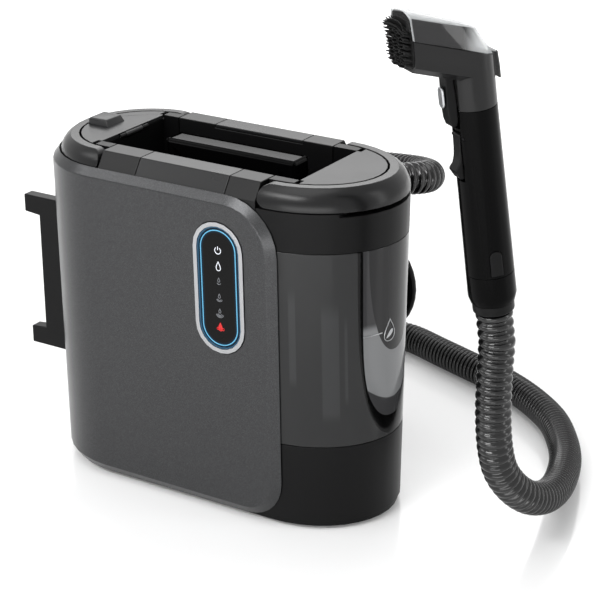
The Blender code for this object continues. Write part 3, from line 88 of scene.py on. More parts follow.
class Look(Enum):
    """The object's finishes, each with the record's material slot that it belongs to."""

    PANEL = ("panel", "panel_grey")
    TRIM = ("trim", "deck_grey")
    LID = ("lid", "deck_grey")
    BAIL = ("bail_gloss", "deck_grey")
    BLACK = ("black", "black_satin")
    DECK = ("deck_black", "black_satin")
    GLOSS = ("gloss_black", "black_satin")
    SMOKE = ("smoke_and_shade", "smoke_clear")
    CLEAR = ("clear", "clear_cover")
    SILVER = ("silver", "silver_ring")
    PALE = ("pale_metal", "silver_ring")
    DISPLAY = ("display", "display_black")
    GLOW = ("light_guide", "light_guide")
    HOSE = ("hose", "hose_grey")
    RUBBER = ("rubber", "rubber_black")
    STEEL = ("steel", "bare_steel")
    DARK_STEEL = ("dark_steel", "bare_steel")
    ALLOY = ("alloy", "cast_alloy")
    INNER = ("inner", "inner_plastic")
    BOARD = ("board", "board_green")

    @property
    def label(self) -> str:
        """The material's name."""
        return f"{self.value[0]}_finish"

    @property
    def slot(self) -> str:
        """The record's slot."""
        return self.value[1]


class Socket(Enum):
    """The kinds of socket that the node groups use."""

    NUMBER = "NodeSocketFloat"
    COUNT = "NodeSocketInt"
    VECTOR = "NodeSocketVector"
    COLOUR = "NodeSocketColor"
    SHAPE = "NodeSocketGeometry"
    FINISH = "NodeSocketMaterial"


class Wiring:
    """A node tree under construction, with short ways to add and join its nodes."""

    def __init__(self, tree: bpy.types.NodeTree) -> None:
        """Holds the shader or geometry tree that the nodes go into."""
        self.tree = tree

    def fill(self, node: bpy.types.Node, inputs: dict[str | int, object]) -> None:
        """Sets inputs of a node, and joins those whose value is a wire.

        Args:
            node: The node.
            inputs: The values, by the inputs' names or numbers.
        """
        for name, value in inputs.items():
            if isinstance(value, Wire):
                self.tree.links.new(value, node.inputs[name])
            else:
                node.inputs[name].default_value = value

    def add(
        self, kind: str, inputs: dict[str | int, object] | None = None, **settings: object
    ) -> bpy.types.Node:
        """Adds one node.

        Args:
            kind: The node's Blender type.
            inputs: What goes into it, by the inputs' names or numbers.
            **settings: Properties to set on it.

        Returns:
            The new node.
        """
        node = self.tree.nodes.new(kind)
        for name, value in settings.items():
            setattr(node, name, value)
        self.fill(node, inputs or {})
        return node

    def group(self, tree: bpy.types.NodeTree, inputs: dict[str, object]) -> bpy.types.NodeOutputs:
        """Adds a shader group with what goes into it by name, and gives its outputs."""
        return self.add("ShaderNodeGroup", inputs, node_tree=tree).outputs

    def math(self, operation: str, first: object, second: object = 0.0, clamp: bool = False) -> Wire:
        """One Math node's result, held between 0 and 1 where clamp is set."""
        node = self.add("ShaderNodeMath", {0: first, 1: second}, operation=operation, use_clamp=clamp)
        return node.outputs[0]

    def times(self, first: object, second: object) -> Wire:
        """The product of two values."""
        return self.math("MULTIPLY", first, second)

    def minus(self, first: object, second: object, clamp: bool = False) -> Wire:
        """The first value less the second."""
        return self.math("SUBTRACT", first, second, clamp)

    def step(self, value: object, low: float, high: float, start: float = 0.0, stop: float = 1.0) -> Wire:
        """A smooth rise from start to stop while a value goes from low to high."""
        given = {"Value": value, "From Min": low, "From Max": high, "To Min": start, "To Max": stop}
        return self.add("ShaderNodeMapRange", given, interpolation_type="SMOOTHSTEP").outputs["Result"]

    def mix(self, factor: object, first: object, second: object) -> Wire:
        """A mix of two colours, with the second one's share as its factor."""
        return self.add("ShaderNodeMix", {0: factor, 6: first, 7: second}, data_type="RGBA").outputs[2]

    def place(self) -> Wire:
        """The point's place in the object's own coordinates."""
        return self.add("ShaderNodeTexCoord").outputs["Object"]

    def parts(self, place: Wire) -> bpy.types.NodeOutputs:
        """A place's X, Y and Z."""
        return self.add("ShaderNodeSeparateXYZ", {0: place}).outputs


def opaque(colour: Point) -> tuple[float, float, float, float]:
    """A colour with its alpha of 1."""
    return (*colour, 1)


def new_material(name: str) -> tuple[bpy.types.Material, Wiring, bpy.types.Node]:
    """Starts a material.

    Args:
        name: The material's name.

    Returns:
        The material, its wiring and its shader.
    """
    material = bpy.data.materials.new(name)
    material.use_nodes = True
    return material, Wiring(material.node_tree), material.node_tree.nodes["Principled BSDF"]


def new_group(
    name: str, kind: str, takes: dict[str, tuple[Socket, object]], gives: dict[str, Socket]
) -> tuple[Wiring, bpy.types.NodeOutputs, bpy.types.Node]:
    """Starts a node group with named sockets.

    Args:
        name: The group's name.
        kind: ShaderNodeTree or GeometryNodeTree.
        takes: Each input's name with its kind and its default, or None.
        gives: Each output's name with its kind.

    Returns:
        The group's wiring, the wires that come in, and the node that the results go to.
    """
    tree = bpy.data.node_groups.new(name, kind)
    for label, (socket, default) in takes.items():
        made = tree.interface.new_socket(label, in_out="INPUT", socket_type=socket.value)
        if default is not None:
            made.default_value = default
    for label, socket in gives.items():
        tree.interface.new_socket(label, in_out="OUTPUT", socket_type=socket.value)
    wiring = Wiring(tree)
    return wiring, wiring.add("NodeGroupInput").outputs, wiring.add("NodeGroupOutput")


@dataclass
class SurfaceEffects:
    """The effects that several finishes share, each a shader group that is built once."""

    pit_detail: float = 3
    patch_scale: float = 22
    patch_detail: float = 4
    flake_from: float = 0.45
    film_scale: float = 35
    film_detail: float = 6
    film_from: float = 0.42
    film_to: float = 0.75

    def __post_init__(self) -> None:
        """Builds the groups."""
        self.grain = self.build_grain()
        self.fleck = self.build_fleck()
        self.film = self.build_film()

    def build_grain(self) -> bpy.types.NodeTree:
        """Fine pits of moulded plastic.

        Returns:
            The group: from a place, a scale, a roughness and its swing, to a roughness and a height.
        """
        takes = {
            "Place": (Socket.VECTOR, None),
            "Scale": (Socket.NUMBER, 2500.0),
            "Roughness": (Socket.NUMBER, 0.4),
            "Swing": (Socket.NUMBER, 0.05),
        }
        gives = {"Roughness": Socket.NUMBER, "Height": Socket.NUMBER}
        wiring, given, out = new_group("moulded_grain", "ShaderNodeTree", takes, gives)
        fine, broad = (
            wiring.add("ShaderNodeTexNoise", {"Vector": given["Place"], "Scale": scale, "Detail": detail})
            for scale, detail in ((given["Scale"], self.pit_detail), (self.patch_scale, self.patch_detail))
        )
        swing = wiring.times(wiring.minus(broad.outputs[0], 0.5), given["Swing"])
        rough = wiring.math("ADD", given["Roughness"], wiring.times(swing, 2), clamp=True)
        wiring.fill(out, {"Roughness": rough, "Height": fine.outputs[0]})
        return wiring.tree

    def build_fleck(self) -> bpy.types.NodeTree:
        """Metal flakes in a paint.

        Returns:
            The group: from a place, two colours and a scale, to a colour.
        """
        takes = {
            "Place": (Socket.VECTOR, None),
            "Ground": (Socket.COLOUR, None),
            "Flake": (Socket.COLOUR, None),
            "Scale": (Socket.NUMBER, 3500.0),
        }
        wiring, given, out = new_group("metal_fleck", "ShaderNodeTree", takes, {"Colour": Socket.COLOUR})
        cells = wiring.add("ShaderNodeTexVoronoi", {"Vector": given["Place"], "Scale": given["Scale"]})
        parts = wiring.add("ShaderNodeSeparateColor", {0: cells.outputs["Color"]})
        bright = wiring.step(parts.outputs[0], self.flake_from, 1.0)
        wiring.fill(out, {"Colour": wiring.mix(bright, given["Ground"], given["Flake"])})
        return wiring.tree

    def build_film(self) -> bpy.types.NodeTree:
        """A faint handled film, as fingers leave on gloss.

        Returns:
            The group: from a place and two roughnesses, to a roughness.
        """
        takes = {
            "Place": (Socket.VECTOR, None),
            "Clean": (Socket.NUMBER, 0.06),
            "Handled": (Socket.NUMBER, 0.16),
        }
        wiring, given, out = new_group("handled_film", "ShaderNodeTree", takes, {"Roughness": Socket.NUMBER})
        noise = {"Vector": given["Place"], "Scale": self.film_scale, "Detail": self.film_detail}
        amount = wiring.step(wiring.add("ShaderNodeTexNoise", noise).outputs[0], self.film_from, self.film_to)
        span = wiring.minus(given["Handled"], given["Clean"])
        rough = wiring.math("ADD", given["Clean"], wiring.times(span, amount), clamp=True)
        wiring.fill(out, {"Roughness": rough})
        return wiring.tree

    def handled(self, wiring: Wiring, place: Wire, film: Flat) -> Wire:
        """The roughness of a gloss with a film: where it is clean, and where hands have touched it."""
        return wiring.group(self.film, {"Place": place, "Clean": film[0], "Handled": film[1]})["Roughness"]


class Surface:
    """A material that a subclass describes by what goes into its shader."""

    def inputs(self, wiring: Wiring, effects: SurfaceEffects | None) -> dict[str, object]:
        """Values and wires for the shader, by the names of its inputs. Each subclass gives its own."""
        raise NotImplementedError

    def build(self, name: str, effects: SurfaceEffects | None = None) -> bpy.types.Material:
        """Makes the material.

        Args:
            name: Its name.
            effects: The shared shader groups, for a surface that uses them.

        Returns:
            The material.
        """
        material, wiring, shader = new_material(name)
        wiring.fill(shader, self.inputs(wiring, effects))
        return material


@dataclass(frozen=True)
class Finish(Surface):
    """One finish of moulded plastic, metal or rubber."""

    look: Look
    colour: Point
    roughness: float
    metallic: float = 0.0
    grain_scale: float = 2500.0
    grain_depth: float = 0.00002
    grain_strength: float = 0.35
    swing: float = 0.04
    fleck: Point | None = None
    specular: float = 0.5

    def inputs(self, wiring: Wiring, effects: SurfaceEffects | None) -> dict[str, object]:
        """Grained plastic, metal or rubber, with flecks where it has them.

        Args:
            wiring: The material's tree.
            effects: The shared shader groups.

        Returns:
            Values and wires, by the inputs' names.
        """
        place = wiring.place()
        given = {"Place": place, "Scale": self.grain_scale, "Roughness": self.roughness, "Swing": self.swing}
        grain = wiring.group(effects.grain, given)
        pits = {"Strength": self.grain_strength, "Distance": self.grain_depth, "Height": grain["Height"]}
        colour = opaque(self.colour)
        if self.fleck is not None:
            flakes = {"Place": place, "Ground": colour, "Flake": opaque(self.fleck)}
            colour = wiring.group(effects.fleck, flakes)["Colour"]
        return {
            "Base Color": colour,
            "Roughness": grain["Roughness"],
            "Normal": wiring.add("ShaderNodeBump", pits).outputs[0],
            "Metallic": self.metallic,
            "Specular IOR Level": self.specular,
        }


FINISHES = (
    Finish(
        Look.PANEL, (0.042, 0.0425, 0.044), 0.31, metallic=0.76, fleck=(0.080, 0.081, 0.083), specular=0.35
    ),
    Finish(Look.TRIM, (0.013, 0.0132, 0.0137), 0.28, grain_scale=1800, specular=0.20),
    Finish(Look.LID, (0.020, 0.0203, 0.021), 0.34, grain_scale=1800, specular=0.24),
    Finish(Look.BAIL, (0.006, 0.006, 0.0063), 0.26, grain_scale=1600, grain_depth=0.00001, specular=0.26),
    Finish(Look.BLACK, (0.0040, 0.0040, 0.0042), 0.34, grain_scale=1600, specular=0.12),
    Finish(Look.DECK, (0.0050, 0.0050, 0.0052), 0.34, grain_scale=1600, specular=0.20),
    Finish(Look.GLOSS, (0.0014, 0.0014, 0.0015), 0.20, grain_scale=1600, grain_depth=0.000008, specular=0.05),
    Finish(Look.SILVER, (0.40, 0.405, 0.415), 0.30, metallic=1.0, grain_depth=0.00001),
    Finish(Look.PALE, (0.42, 0.43, 0.44), 0.30, metallic=1.0, grain_depth=0.00001),
    Finish(Look.HOSE, (0.0030, 0.0031, 0.0033), 0.16, grain_scale=900, swing=0.08, specular=0.5),
    Finish(Look.RUBBER, (0.007, 0.007, 0.007), 0.62, grain_scale=900, grain_depth=0.00006, specular=0.25),
    Finish(Look.STEEL, (0.56, 0.57, 0.58), 0.30, metallic=1.0, grain_depth=0.00001),
    Finish(Look.DARK_STEEL, (0.02, 0.02, 0.021), 0.35, metallic=1.0, grain_depth=0.00001),
    Finish(Look.ALLOY, (0.48, 0.49, 0.50), 0.46, metallic=1.0, grain_scale=500, grain_depth=0.00012),
    Finish(Look.INNER, (0.50, 0.50, 0.48), 0.48, grain_scale=1200),
)


@dataclass(frozen=True)
class Tongue:
    """A tongue that hangs from a tank's top: its half width, its tip's height and how full the tip is."""

    half: float
    low: float
    power: float


@dataclass(frozen=True)
class SmokedPlastic(Surface):
    """The tanks' smoked wall, with a paler tongue on the round end of the clean tank."""

    middle_y: float
    top: float
    frame: Tongue = Tongue(0.0434, 0.0838, 4.0)
    window: Tongue = Tongue(0.0396, 0.1015, 6.0)
    shade: Tongue = Tongue(0.0345, 0.164, 2.6)
    taper: float = 0.09
    fullness: float = 0.4
    tongue_edge: float = 0.0007
    front: float = 0.108
    front_blend: float = 0.002
    pale_top: float = 0.196
    pale_blend: float = 0.008
    hill_low: float = 0.118
    hill_curve: float = 14.0
    hill_edge: float = 0.001
    # Painted reflections: upright lighter bands that stand for the lamps' reflections, each given by its two
    # sides along the body and its low and high ends.
    painted_reflections: tuple[tuple[float, float, float, float], ...] = (
        (0.069, 0.076, 0.137, 0.235),
        (0.0955, 0.1085, 0.105, 0.222),
        (0.1113, 0.1140, 0.120, 0.210),
    )
    reflection_sides: Flat = (0.0012, 0.0005)
    reflection_ends: Flat = (0.012, 0.02)
    pale: Point = (0.24, 0.245, 0.25)
    dim: Point = (0.05, 0.05, 0.052)
    shaded: Point = (0.022, 0.022, 0.023)
    wall: Point = (0.026, 0.0265, 0.027)
    # The lighter tone of the painted reflection streaks.
    reflection_tone: Point = (0.040, 0.041, 0.042)
    rim: Point = (0.0015, 0.0015, 0.0016)
    film: Flat = (0.05, 0.12)
    specular: float = 0.20
    transmission: float = 0.15
    ior: float = 1.46

    def mask(self, wiring: Wiring, across: Wire, z: Wire, tongue: Tongue) -> Wire:
        """A tongue's mask.

        Args:
            wiring: The material's tree.
            across: The distance from the tongue's middle line.
            z: The height.
            tongue: The tongue.

        Returns:
            One inside the tongue and zero outside it.
        """
        down = wiring.math("DIVIDE", wiring.minus(self.top, z), self.top - tongue.low, clamp=True)
        narrowed = wiring.minus(1.0, wiring.math("POWER", down, tongue.power), clamp=True)
        tapered = wiring.minus(tongue.half, wiring.times(down, self.taper * tongue.half))
        reach = wiring.times(wiring.math("POWER", narrowed, self.fullness), tapered)
        return wiring.step(wiring.minus(reach, across), 0.0, self.tongue_edge)

    def reflection_streaks(self, wiring: Wiring, x: Wire, z: Wire) -> Wire:
        """Faint upright streaks of painted reflection: lighter bands on the wall that stand for the lamps'
        reflections.

        Args:
            wiring: The material's tree.
            x: The place along the body.
            z: The height.

        Returns:
            How strong the painted reflection is at a place.
        """
        total = wiring.times(z, 0.0)
        for left, right, low, high in self.painted_reflections:
            share = wiring.step(x, left, left + self.reflection_sides[0])
            share = wiring.times(share, wiring.step(x, right - self.reflection_sides[1], right, 1.0, 0.0))
            tall = wiring.step(z, low, low + self.reflection_ends[0])
            tall = wiring.times(tall, wiring.step(z, high - self.reflection_ends[1], high, 1.0, 0.0))
            total = wiring.math("ADD", total, wiring.times(share, tall))
        return total

    def inputs(self, wiring: Wiring, effects: SurfaceEffects | None) -> dict[str, object]:
        """The window's pale and dark fields inside its frame, and the wall round it with its painted
        reflection streaks.

        Args:
            wiring: The material's tree.
            effects: The shared shader groups.

        Returns:
            Values and wires, by the inputs' names.
        """
        pale, dim, shaded, wall, reflection_tone, rim = map(
            opaque, (self.pale, self.dim, self.shaded, self.wall, self.reflection_tone, self.rim)
        )
        place = wiring.place()
        x, y, z = wiring.parts(place)
        across = wiring.math("ABSOLUTE", wiring.minus(y, self.middle_y))
        end = wiring.step(x, self.front, self.front + self.front_blend)
        frame = wiring.times(self.mask(wiring, across, z, self.frame), end)
        window = wiring.times(self.mask(wiring, across, z, self.window), end)
        upper = wiring.mix(wiring.step(z, self.pale_top - self.pale_blend, self.pale_top), pale, dim)
        upper = wiring.mix(self.mask(wiring, across, z, self.shade), upper, shaded)
        curve = wiring.times(wiring.math("POWER", across, 2.0), self.hill_curve)
        over_hill = wiring.step(wiring.minus(z, curve), self.hill_low, self.hill_low + self.hill_edge)
        inside = wiring.mix(over_hill, dim, upper)
        # The wall with its painted reflection streaks laid over it.
        reflected_wall = wiring.mix(self.reflection_streaks(wiring, x, z), wall, reflection_tone)
        return {
            "Base Color": wiring.mix(window, wiring.mix(frame, reflected_wall, rim), inside),
            "Roughness": effects.handled(wiring, place, self.film),
            "Specular IOR Level": self.specular,
            "Transmission Weight": self.transmission,
            "IOR": self.ior,
        }


@dataclass(frozen=True)
class ClearPlastic(Surface):
    """The head's clear cover in the head's frame: see-through on top with a pale painted reflection of the
    light above, and painted dark over the black channel, a painted shade for the channel seen through its
    sides.
    """

    frame: Matrix
    # The pale colour on top and at the lip is a painted reflection of the light above; the cover itself is
    # clear.
    colour: Point = (0.80, 0.82, 0.83)
    # The dark colour on the sides and under the tab is painted shade for the black channel seen through the
    # clear cover.
    smoke_and_shade: Point = (0.024, 0.024, 0.025)
    crease: float = 0.0160
    crease_blend: float = 0.0008
    back: float = 0.0020
    back_blend: float = 0.022
    front: float = 0.0658
    front_blend: float = 0.001
    tab_back: float = -0.0120
    # The alpha where the painted reflection shows, and where the painted shade shows.
    opacity: Flat = (0.42, 0.86)
    film: Flat = (0.05, 0.12)
    ior: float = 1.46

    def along(self, wiring: Wiring, place: Wire, axis: int) -> Wire:
        """A place's part along one of the head's axes.

        Args:
            wiring: The material's tree.
            place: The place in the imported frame.
            axis: Which axis.

        Returns:
            The part's wire.
        """
        way = self.frame.to_3x3().col[axis]
        dot = wiring.add("ShaderNodeVectorMath", {0: place, 1: tuple(way)}, operation="DOT_PRODUCT")
        return wiring.minus(dot.outputs["Value"], self.frame.translation.dot(way))

    def inputs(self, wiring: Wiring, effects: SurfaceEffects | None) -> dict[str, object]:
        """Pale and see-through on top and at the lip, where the pale is a painted reflection; painted shade
        on the upright sides and under the tab.

        Args:
            wiring: The material's tree.
            effects: The shared shader groups.

        Returns:
            Values and wires, by the inputs' names.
        """
        place = wiring.place()
        ahead, up = (self.along(wiring, place, axis) for axis in (0, 2))
        side = wiring.step(up, self.crease, self.crease + self.crease_blend, 1.0, 0.0)
        depth = wiring.step(ahead, self.back, self.back + self.back_blend)
        reach = wiring.minus(ahead, wiring.times(up, MOUTH_SLANT))
        lip = wiring.step(reach, self.front, self.front + self.front_blend, 1.0, 0.0)
        tab = wiring.step(ahead, self.tab_back, self.tab_back + self.crease_blend, 1.0, 0.0)
        # The share that is painted dark: painted shade on the upright sides and under the tab.
        painted_shade_share = wiring.math("MAXIMUM", wiring.times(wiring.times(side, depth), lip), tab)
        return {
            "Base Color": wiring.mix(painted_shade_share, opaque(self.colour), opaque(self.smoke_and_shade)),
            "Alpha": wiring.step(painted_shade_share, 0.0, 1.0, *self.opacity),
            "Roughness": effects.handled(wiring, place, self.film),
            "IOR": self.ior,
        }


@dataclass(frozen=True)
class DisplayGlass(Surface):
    """The display's black glass, with a blue haze from the light guide round its edge."""

    centre: Flat
    half: Flat
    colour: Point = (0.002, 0.002, 0.002)
    haze: Point = (0.002, 0.022, 0.050)
    haze_reach: float = 0.0030
    film: Flat = (0.04, 0.09)
    specular: float = 0.12

    def inputs(self, wiring: Wiring, effects: SurfaceEffects | None) -> dict[str, object]:
        """Black glass with a haze along the light line.

        Args:
            wiring: The material's tree.
            effects: The shared shader groups.

        Returns:
            Values and wires, by the inputs' names.
        """
        place = wiring.place()
        x, _, z = wiring.parts(place)
        across = wiring.math("ABSOLUTE", wiring.minus(x, self.centre[0]))
        up = wiring.math("ABSOLUTE", wiring.minus(z, self.centre[1]))
        over = wiring.math("MAXIMUM", wiring.minus(up, self.half[1] - self.half[0]), 0.0)
        squares = (wiring.math("POWER", part, 2.0) for part in (across, over))
        distance = wiring.math("SQRT", wiring.math("ADD", *squares))
        away = wiring.math("ABSOLUTE", wiring.minus(distance, self.half[0] - LIGHT_LINE_INSET))
        near = wiring.step(away, 0.0, self.haze_reach, 1.0, 0.0)
        return {
            "Base Color": opaque(self.colour),
            "Emission Color": wiring.mix(near, (0.0, 0.0, 0.0, 1), opaque(self.haze)),
            "Emission Strength": 1.0,
            "Specular IOR Level": self.specular,
            "Roughness": effects.handled(wiring, place, self.film),
        }


@dataclass(frozen=True)
class Lamp(Surface):
    """A lit line or sign, a little uneven in its strength."""

    colour: Point
    strength: float = 1.0
    patch_scale: float = 400
    patch_span: Flat = (0.2, 0.8)
    dimmest: float = 0.85
    unlit: float = 0.3
    roughness: float = 0.3

    def shaded(self, share: float) -> tuple[float, float, float, float]:
        """The lamp's colour at a share of its brightness."""
        return opaque(tuple(share * part for part in self.colour))

    def inputs(self, wiring: Wiring, effects: SurfaceEffects | None) -> dict[str, object]:
        """A colour that is lit a little unevenly.

        Args:
            wiring: The material's tree.
            effects: The shared shader groups.

        Returns:
            Values and wires, by the inputs' names.
        """
        patches = wiring.add("ShaderNodeTexNoise", {"Vector": wiring.place(), "Scale": self.patch_scale})
        even = wiring.step(patches.outputs[0], *self.patch_span)
        return {
            "Base Color": self.shaded(self.unlit),
            "Emission Color": wiring.mix(even, self.shaded(self.dimmest), opaque(self.colour)),
            "Emission Strength": self.strength,
            "Roughness": self.roughness,
        }


@dataclass(frozen=True)
class CircuitBoard(Surface):
    """A green board with copper tracks under its solder mask."""

    scale: float = 120
    mask: Point = (0.012, 0.10, 0.045)
    worn_mask: Point = (0.016, 0.13, 0.060)
    track: Point = (0.06, 0.24, 0.10)
    roughness: float = 0.4

    def inputs(self, wiring: Wiring, effects: SurfaceEffects | None) -> dict[str, object]:
        """Tracks in a brick pattern under the mask.

        Args:
            wiring: The material's tree.
            effects: The shared shader groups.

        Returns:
            Values and wires, by the inputs' names.
        """
        tracks = {
            "Vector": wiring.place(),
            "Scale": self.scale,
            "Color1": opaque(self.mask),
            "Color2": opaque(self.worn_mask),
            "Mortar": opaque(self.track),
        }
        colour = wiring.add("ShaderNodeTexBrick", tracks).outputs["Color"]
        return {"Base Color": colour, "Roughness": self.roughness}


@dataclass
class Body:
    """The place of the upright body, and the lean of its moulded sides."""

    motor_x: float = -0.0340
    end_centre: float = 0.0905
    half_width: float = 0.0755
    panel_stand: float = 0.0063
    glass_sunk: float = 0.0004
    draft_slope: float = 0.0189
    draft_level: float = 0.1685
    handset: Flat = (0.2995, -0.0582)
    handset_turn: float = math.radians(-123.3)
    head_x: float = 0.0209
    head_z: float = 0.4647
    head_rise: float = math.radians(15)
    shift: Vector = field(default_factory=Vector)

    def find(self) -> None:
        """Reads where the body stands in the frame from its fan's axis."""
        low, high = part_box("fan_impeller")
        self.shift = Vector(((low[0] + high[0]) / 2 - self.motor_x, (low[1] + high[1]) / 2, 0))

    def draft(self, z: float) -> float:
        """How much wider than at the draft level the sides are at a height."""
        return 1 + self.draft_slope * (z - self.draft_level) / self.half_width

    def world(self, x: float, y: float, z: float) -> Vector:
        """A place given in the body's own frame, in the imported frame."""
        return Vector((x, y, z)) + self.shift

    def head_frame(self) -> Matrix:
        """The handset head's frame, with X towards its mouth."""
        foot = Matrix.Translation(self.world(*self.handset, 0)) @ Matrix.Rotation(self.handset_turn, 4, "Z")
        lift = Matrix.Translation((self.head_x, 0, self.head_z))
        return foot @ lift @ Matrix.Rotation(-self.head_rise, 4, "Y")

    def glass(self, x: float, z: float, proud: float = 0.0) -> Vector:
        """A place on the display's glass, or so far in front of it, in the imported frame."""
        depth = (self.half_width + self.panel_stand - self.glass_sunk) * self.draft(z)
        return self.world(x, -depth - proud, z)


class Workshop:
    """What every sub-assembly needs: the frame, the materials, and the ways to make and fit a piece."""

    def __init__(self, frame: dict, body: Body, materials: dict[Look, bpy.types.Material]) -> None:
        """Keeps the frame, the body's place and the materials.

        Args:
            body: The body's place.
            materials: The finished materials.
        """
        self.nodes = frame["nodes"]
        self.body = body
        self.materials = materials
        members = frame["record"]["behaviour"]["bodies"]
        self.body_of = {node: name for name, nodes in members.items() for node in nodes}

    def mesh_object(self, name: str, points: list, faces: list, edges: list = ()) -> bpy.types.Object:
        """A mesh object from its points and faces.

        Args:
            name: The object's name.
            points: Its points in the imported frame.
            faces: Its faces as lists of point numbers.
            edges: Its loose edges.

        Returns:
            The object, linked to the scene.
        """
        mesh = bpy.data.meshes.new(name)
        mesh.from_pydata([tuple(point) for point in points], list(edges), faces)
        mesh.update()
        obj = bpy.data.objects.new(name, mesh)
        bpy.context.scene.collection.objects.link(obj)
        return obj

    def smooth(self, obj: bpy.types.Object, angle: float = 38.0) -> None:
        """Shades a mesh smooth, but not over edges sharper than an angle in degrees."""
        obj.data.shade_smooth()
        obj.data.set_sharp_from_angle(angle=math.radians(angle))

    def bake(self, obj: bpy.types.Object) -> None:
        """Turns an object's modifiers into its mesh.

        Args:
            obj: The object.
        """
        graph = bpy.context.evaluated_depsgraph_get()
        mesh = bpy.data.meshes.new_from_object(obj.evaluated_get(graph))
        obj.modifiers.clear()
        obj.data = mesh

    def fit(
        self,
        obj: bpy.types.Object,
        body: str,
        look: Look,
        *nodes: str,
        material: bpy.types.Material | None = None,
    ) -> None:
        """Gives a piece its finish and its body, and hides the nodes that it stands for.

        Args:
            obj: The piece.
            body: The body that it rides on.
            look: Its finish.
            *nodes: The nodes that it replaces.
            material: A material other than the finish's own.
        """
        obj.data.materials.clear()
        obj.data.materials.append(material or self.materials[look])
        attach(obj, body)
        look.slot
        if nodes:
            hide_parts(*nodes)
        log.info("%s on %s, %d faces", obj.name, body, len(obj.data.polygons))

    def moulded(
        self, node: str, look: Look, edge: float = 0.0005, segments: int = 2, angle: float = 32.0
    ) -> bpy.types.Object:
        """A node's own shape with one skin, rounded edges and smooth shading.

        Args:
            node: The node that the piece stands for.
            look: Its finish.
            edge: How much of each sharp edge is rounded off. 0 leaves them sharp.
            segments: How many faces each rounding has.
            angle: Edges that turn less than this, in degrees, aren't rounded.

        Returns:
            The piece.
        """
        source = self.nodes[node].data
        bm = bmesh.new()
        spots = [bm.verts.new(vertex.co) for vertex in source.vertices]
        for face in source.polygons:
            bm.faces.new([spots[i] for i in face.vertices])
        bmesh.ops.remove_doubles(bm, verts=bm.verts, dist=WELD)
        bmesh.ops.dissolve_limit(bm, angle_limit=FLAT_TURN, verts=bm.verts, edges=bm.edges)
        mesh = bpy.data.meshes.new(f"{node}_moulding")
        bm.to_mesh(mesh)
        bm.free()
        obj = bpy.data.objects.new(f"{node}_moulding", mesh)
        bpy.context.scene.collection.objects.link(obj)
        if edge > 0:
            bevel = obj.modifiers.new("edges", "BEVEL")
            bevel.width = edge
            bevel.segments = segments
            bevel.limit_method = "ANGLE"
            bevel.angle_limit = math.radians(angle)
            bevel.use_clamp_overlap = False
            bevel.miter_outer = "MITER_ARC"
            self.bake(obj)
        self.smooth(obj)
        faces = obj.modifiers.new("flat_faces", "WEIGHTED_NORMAL")
        faces.keep_sharp = True
        faces.weight = 100
        self.bake(obj)
        self.fit(obj, self.body_of[node], look, node)
        return obj


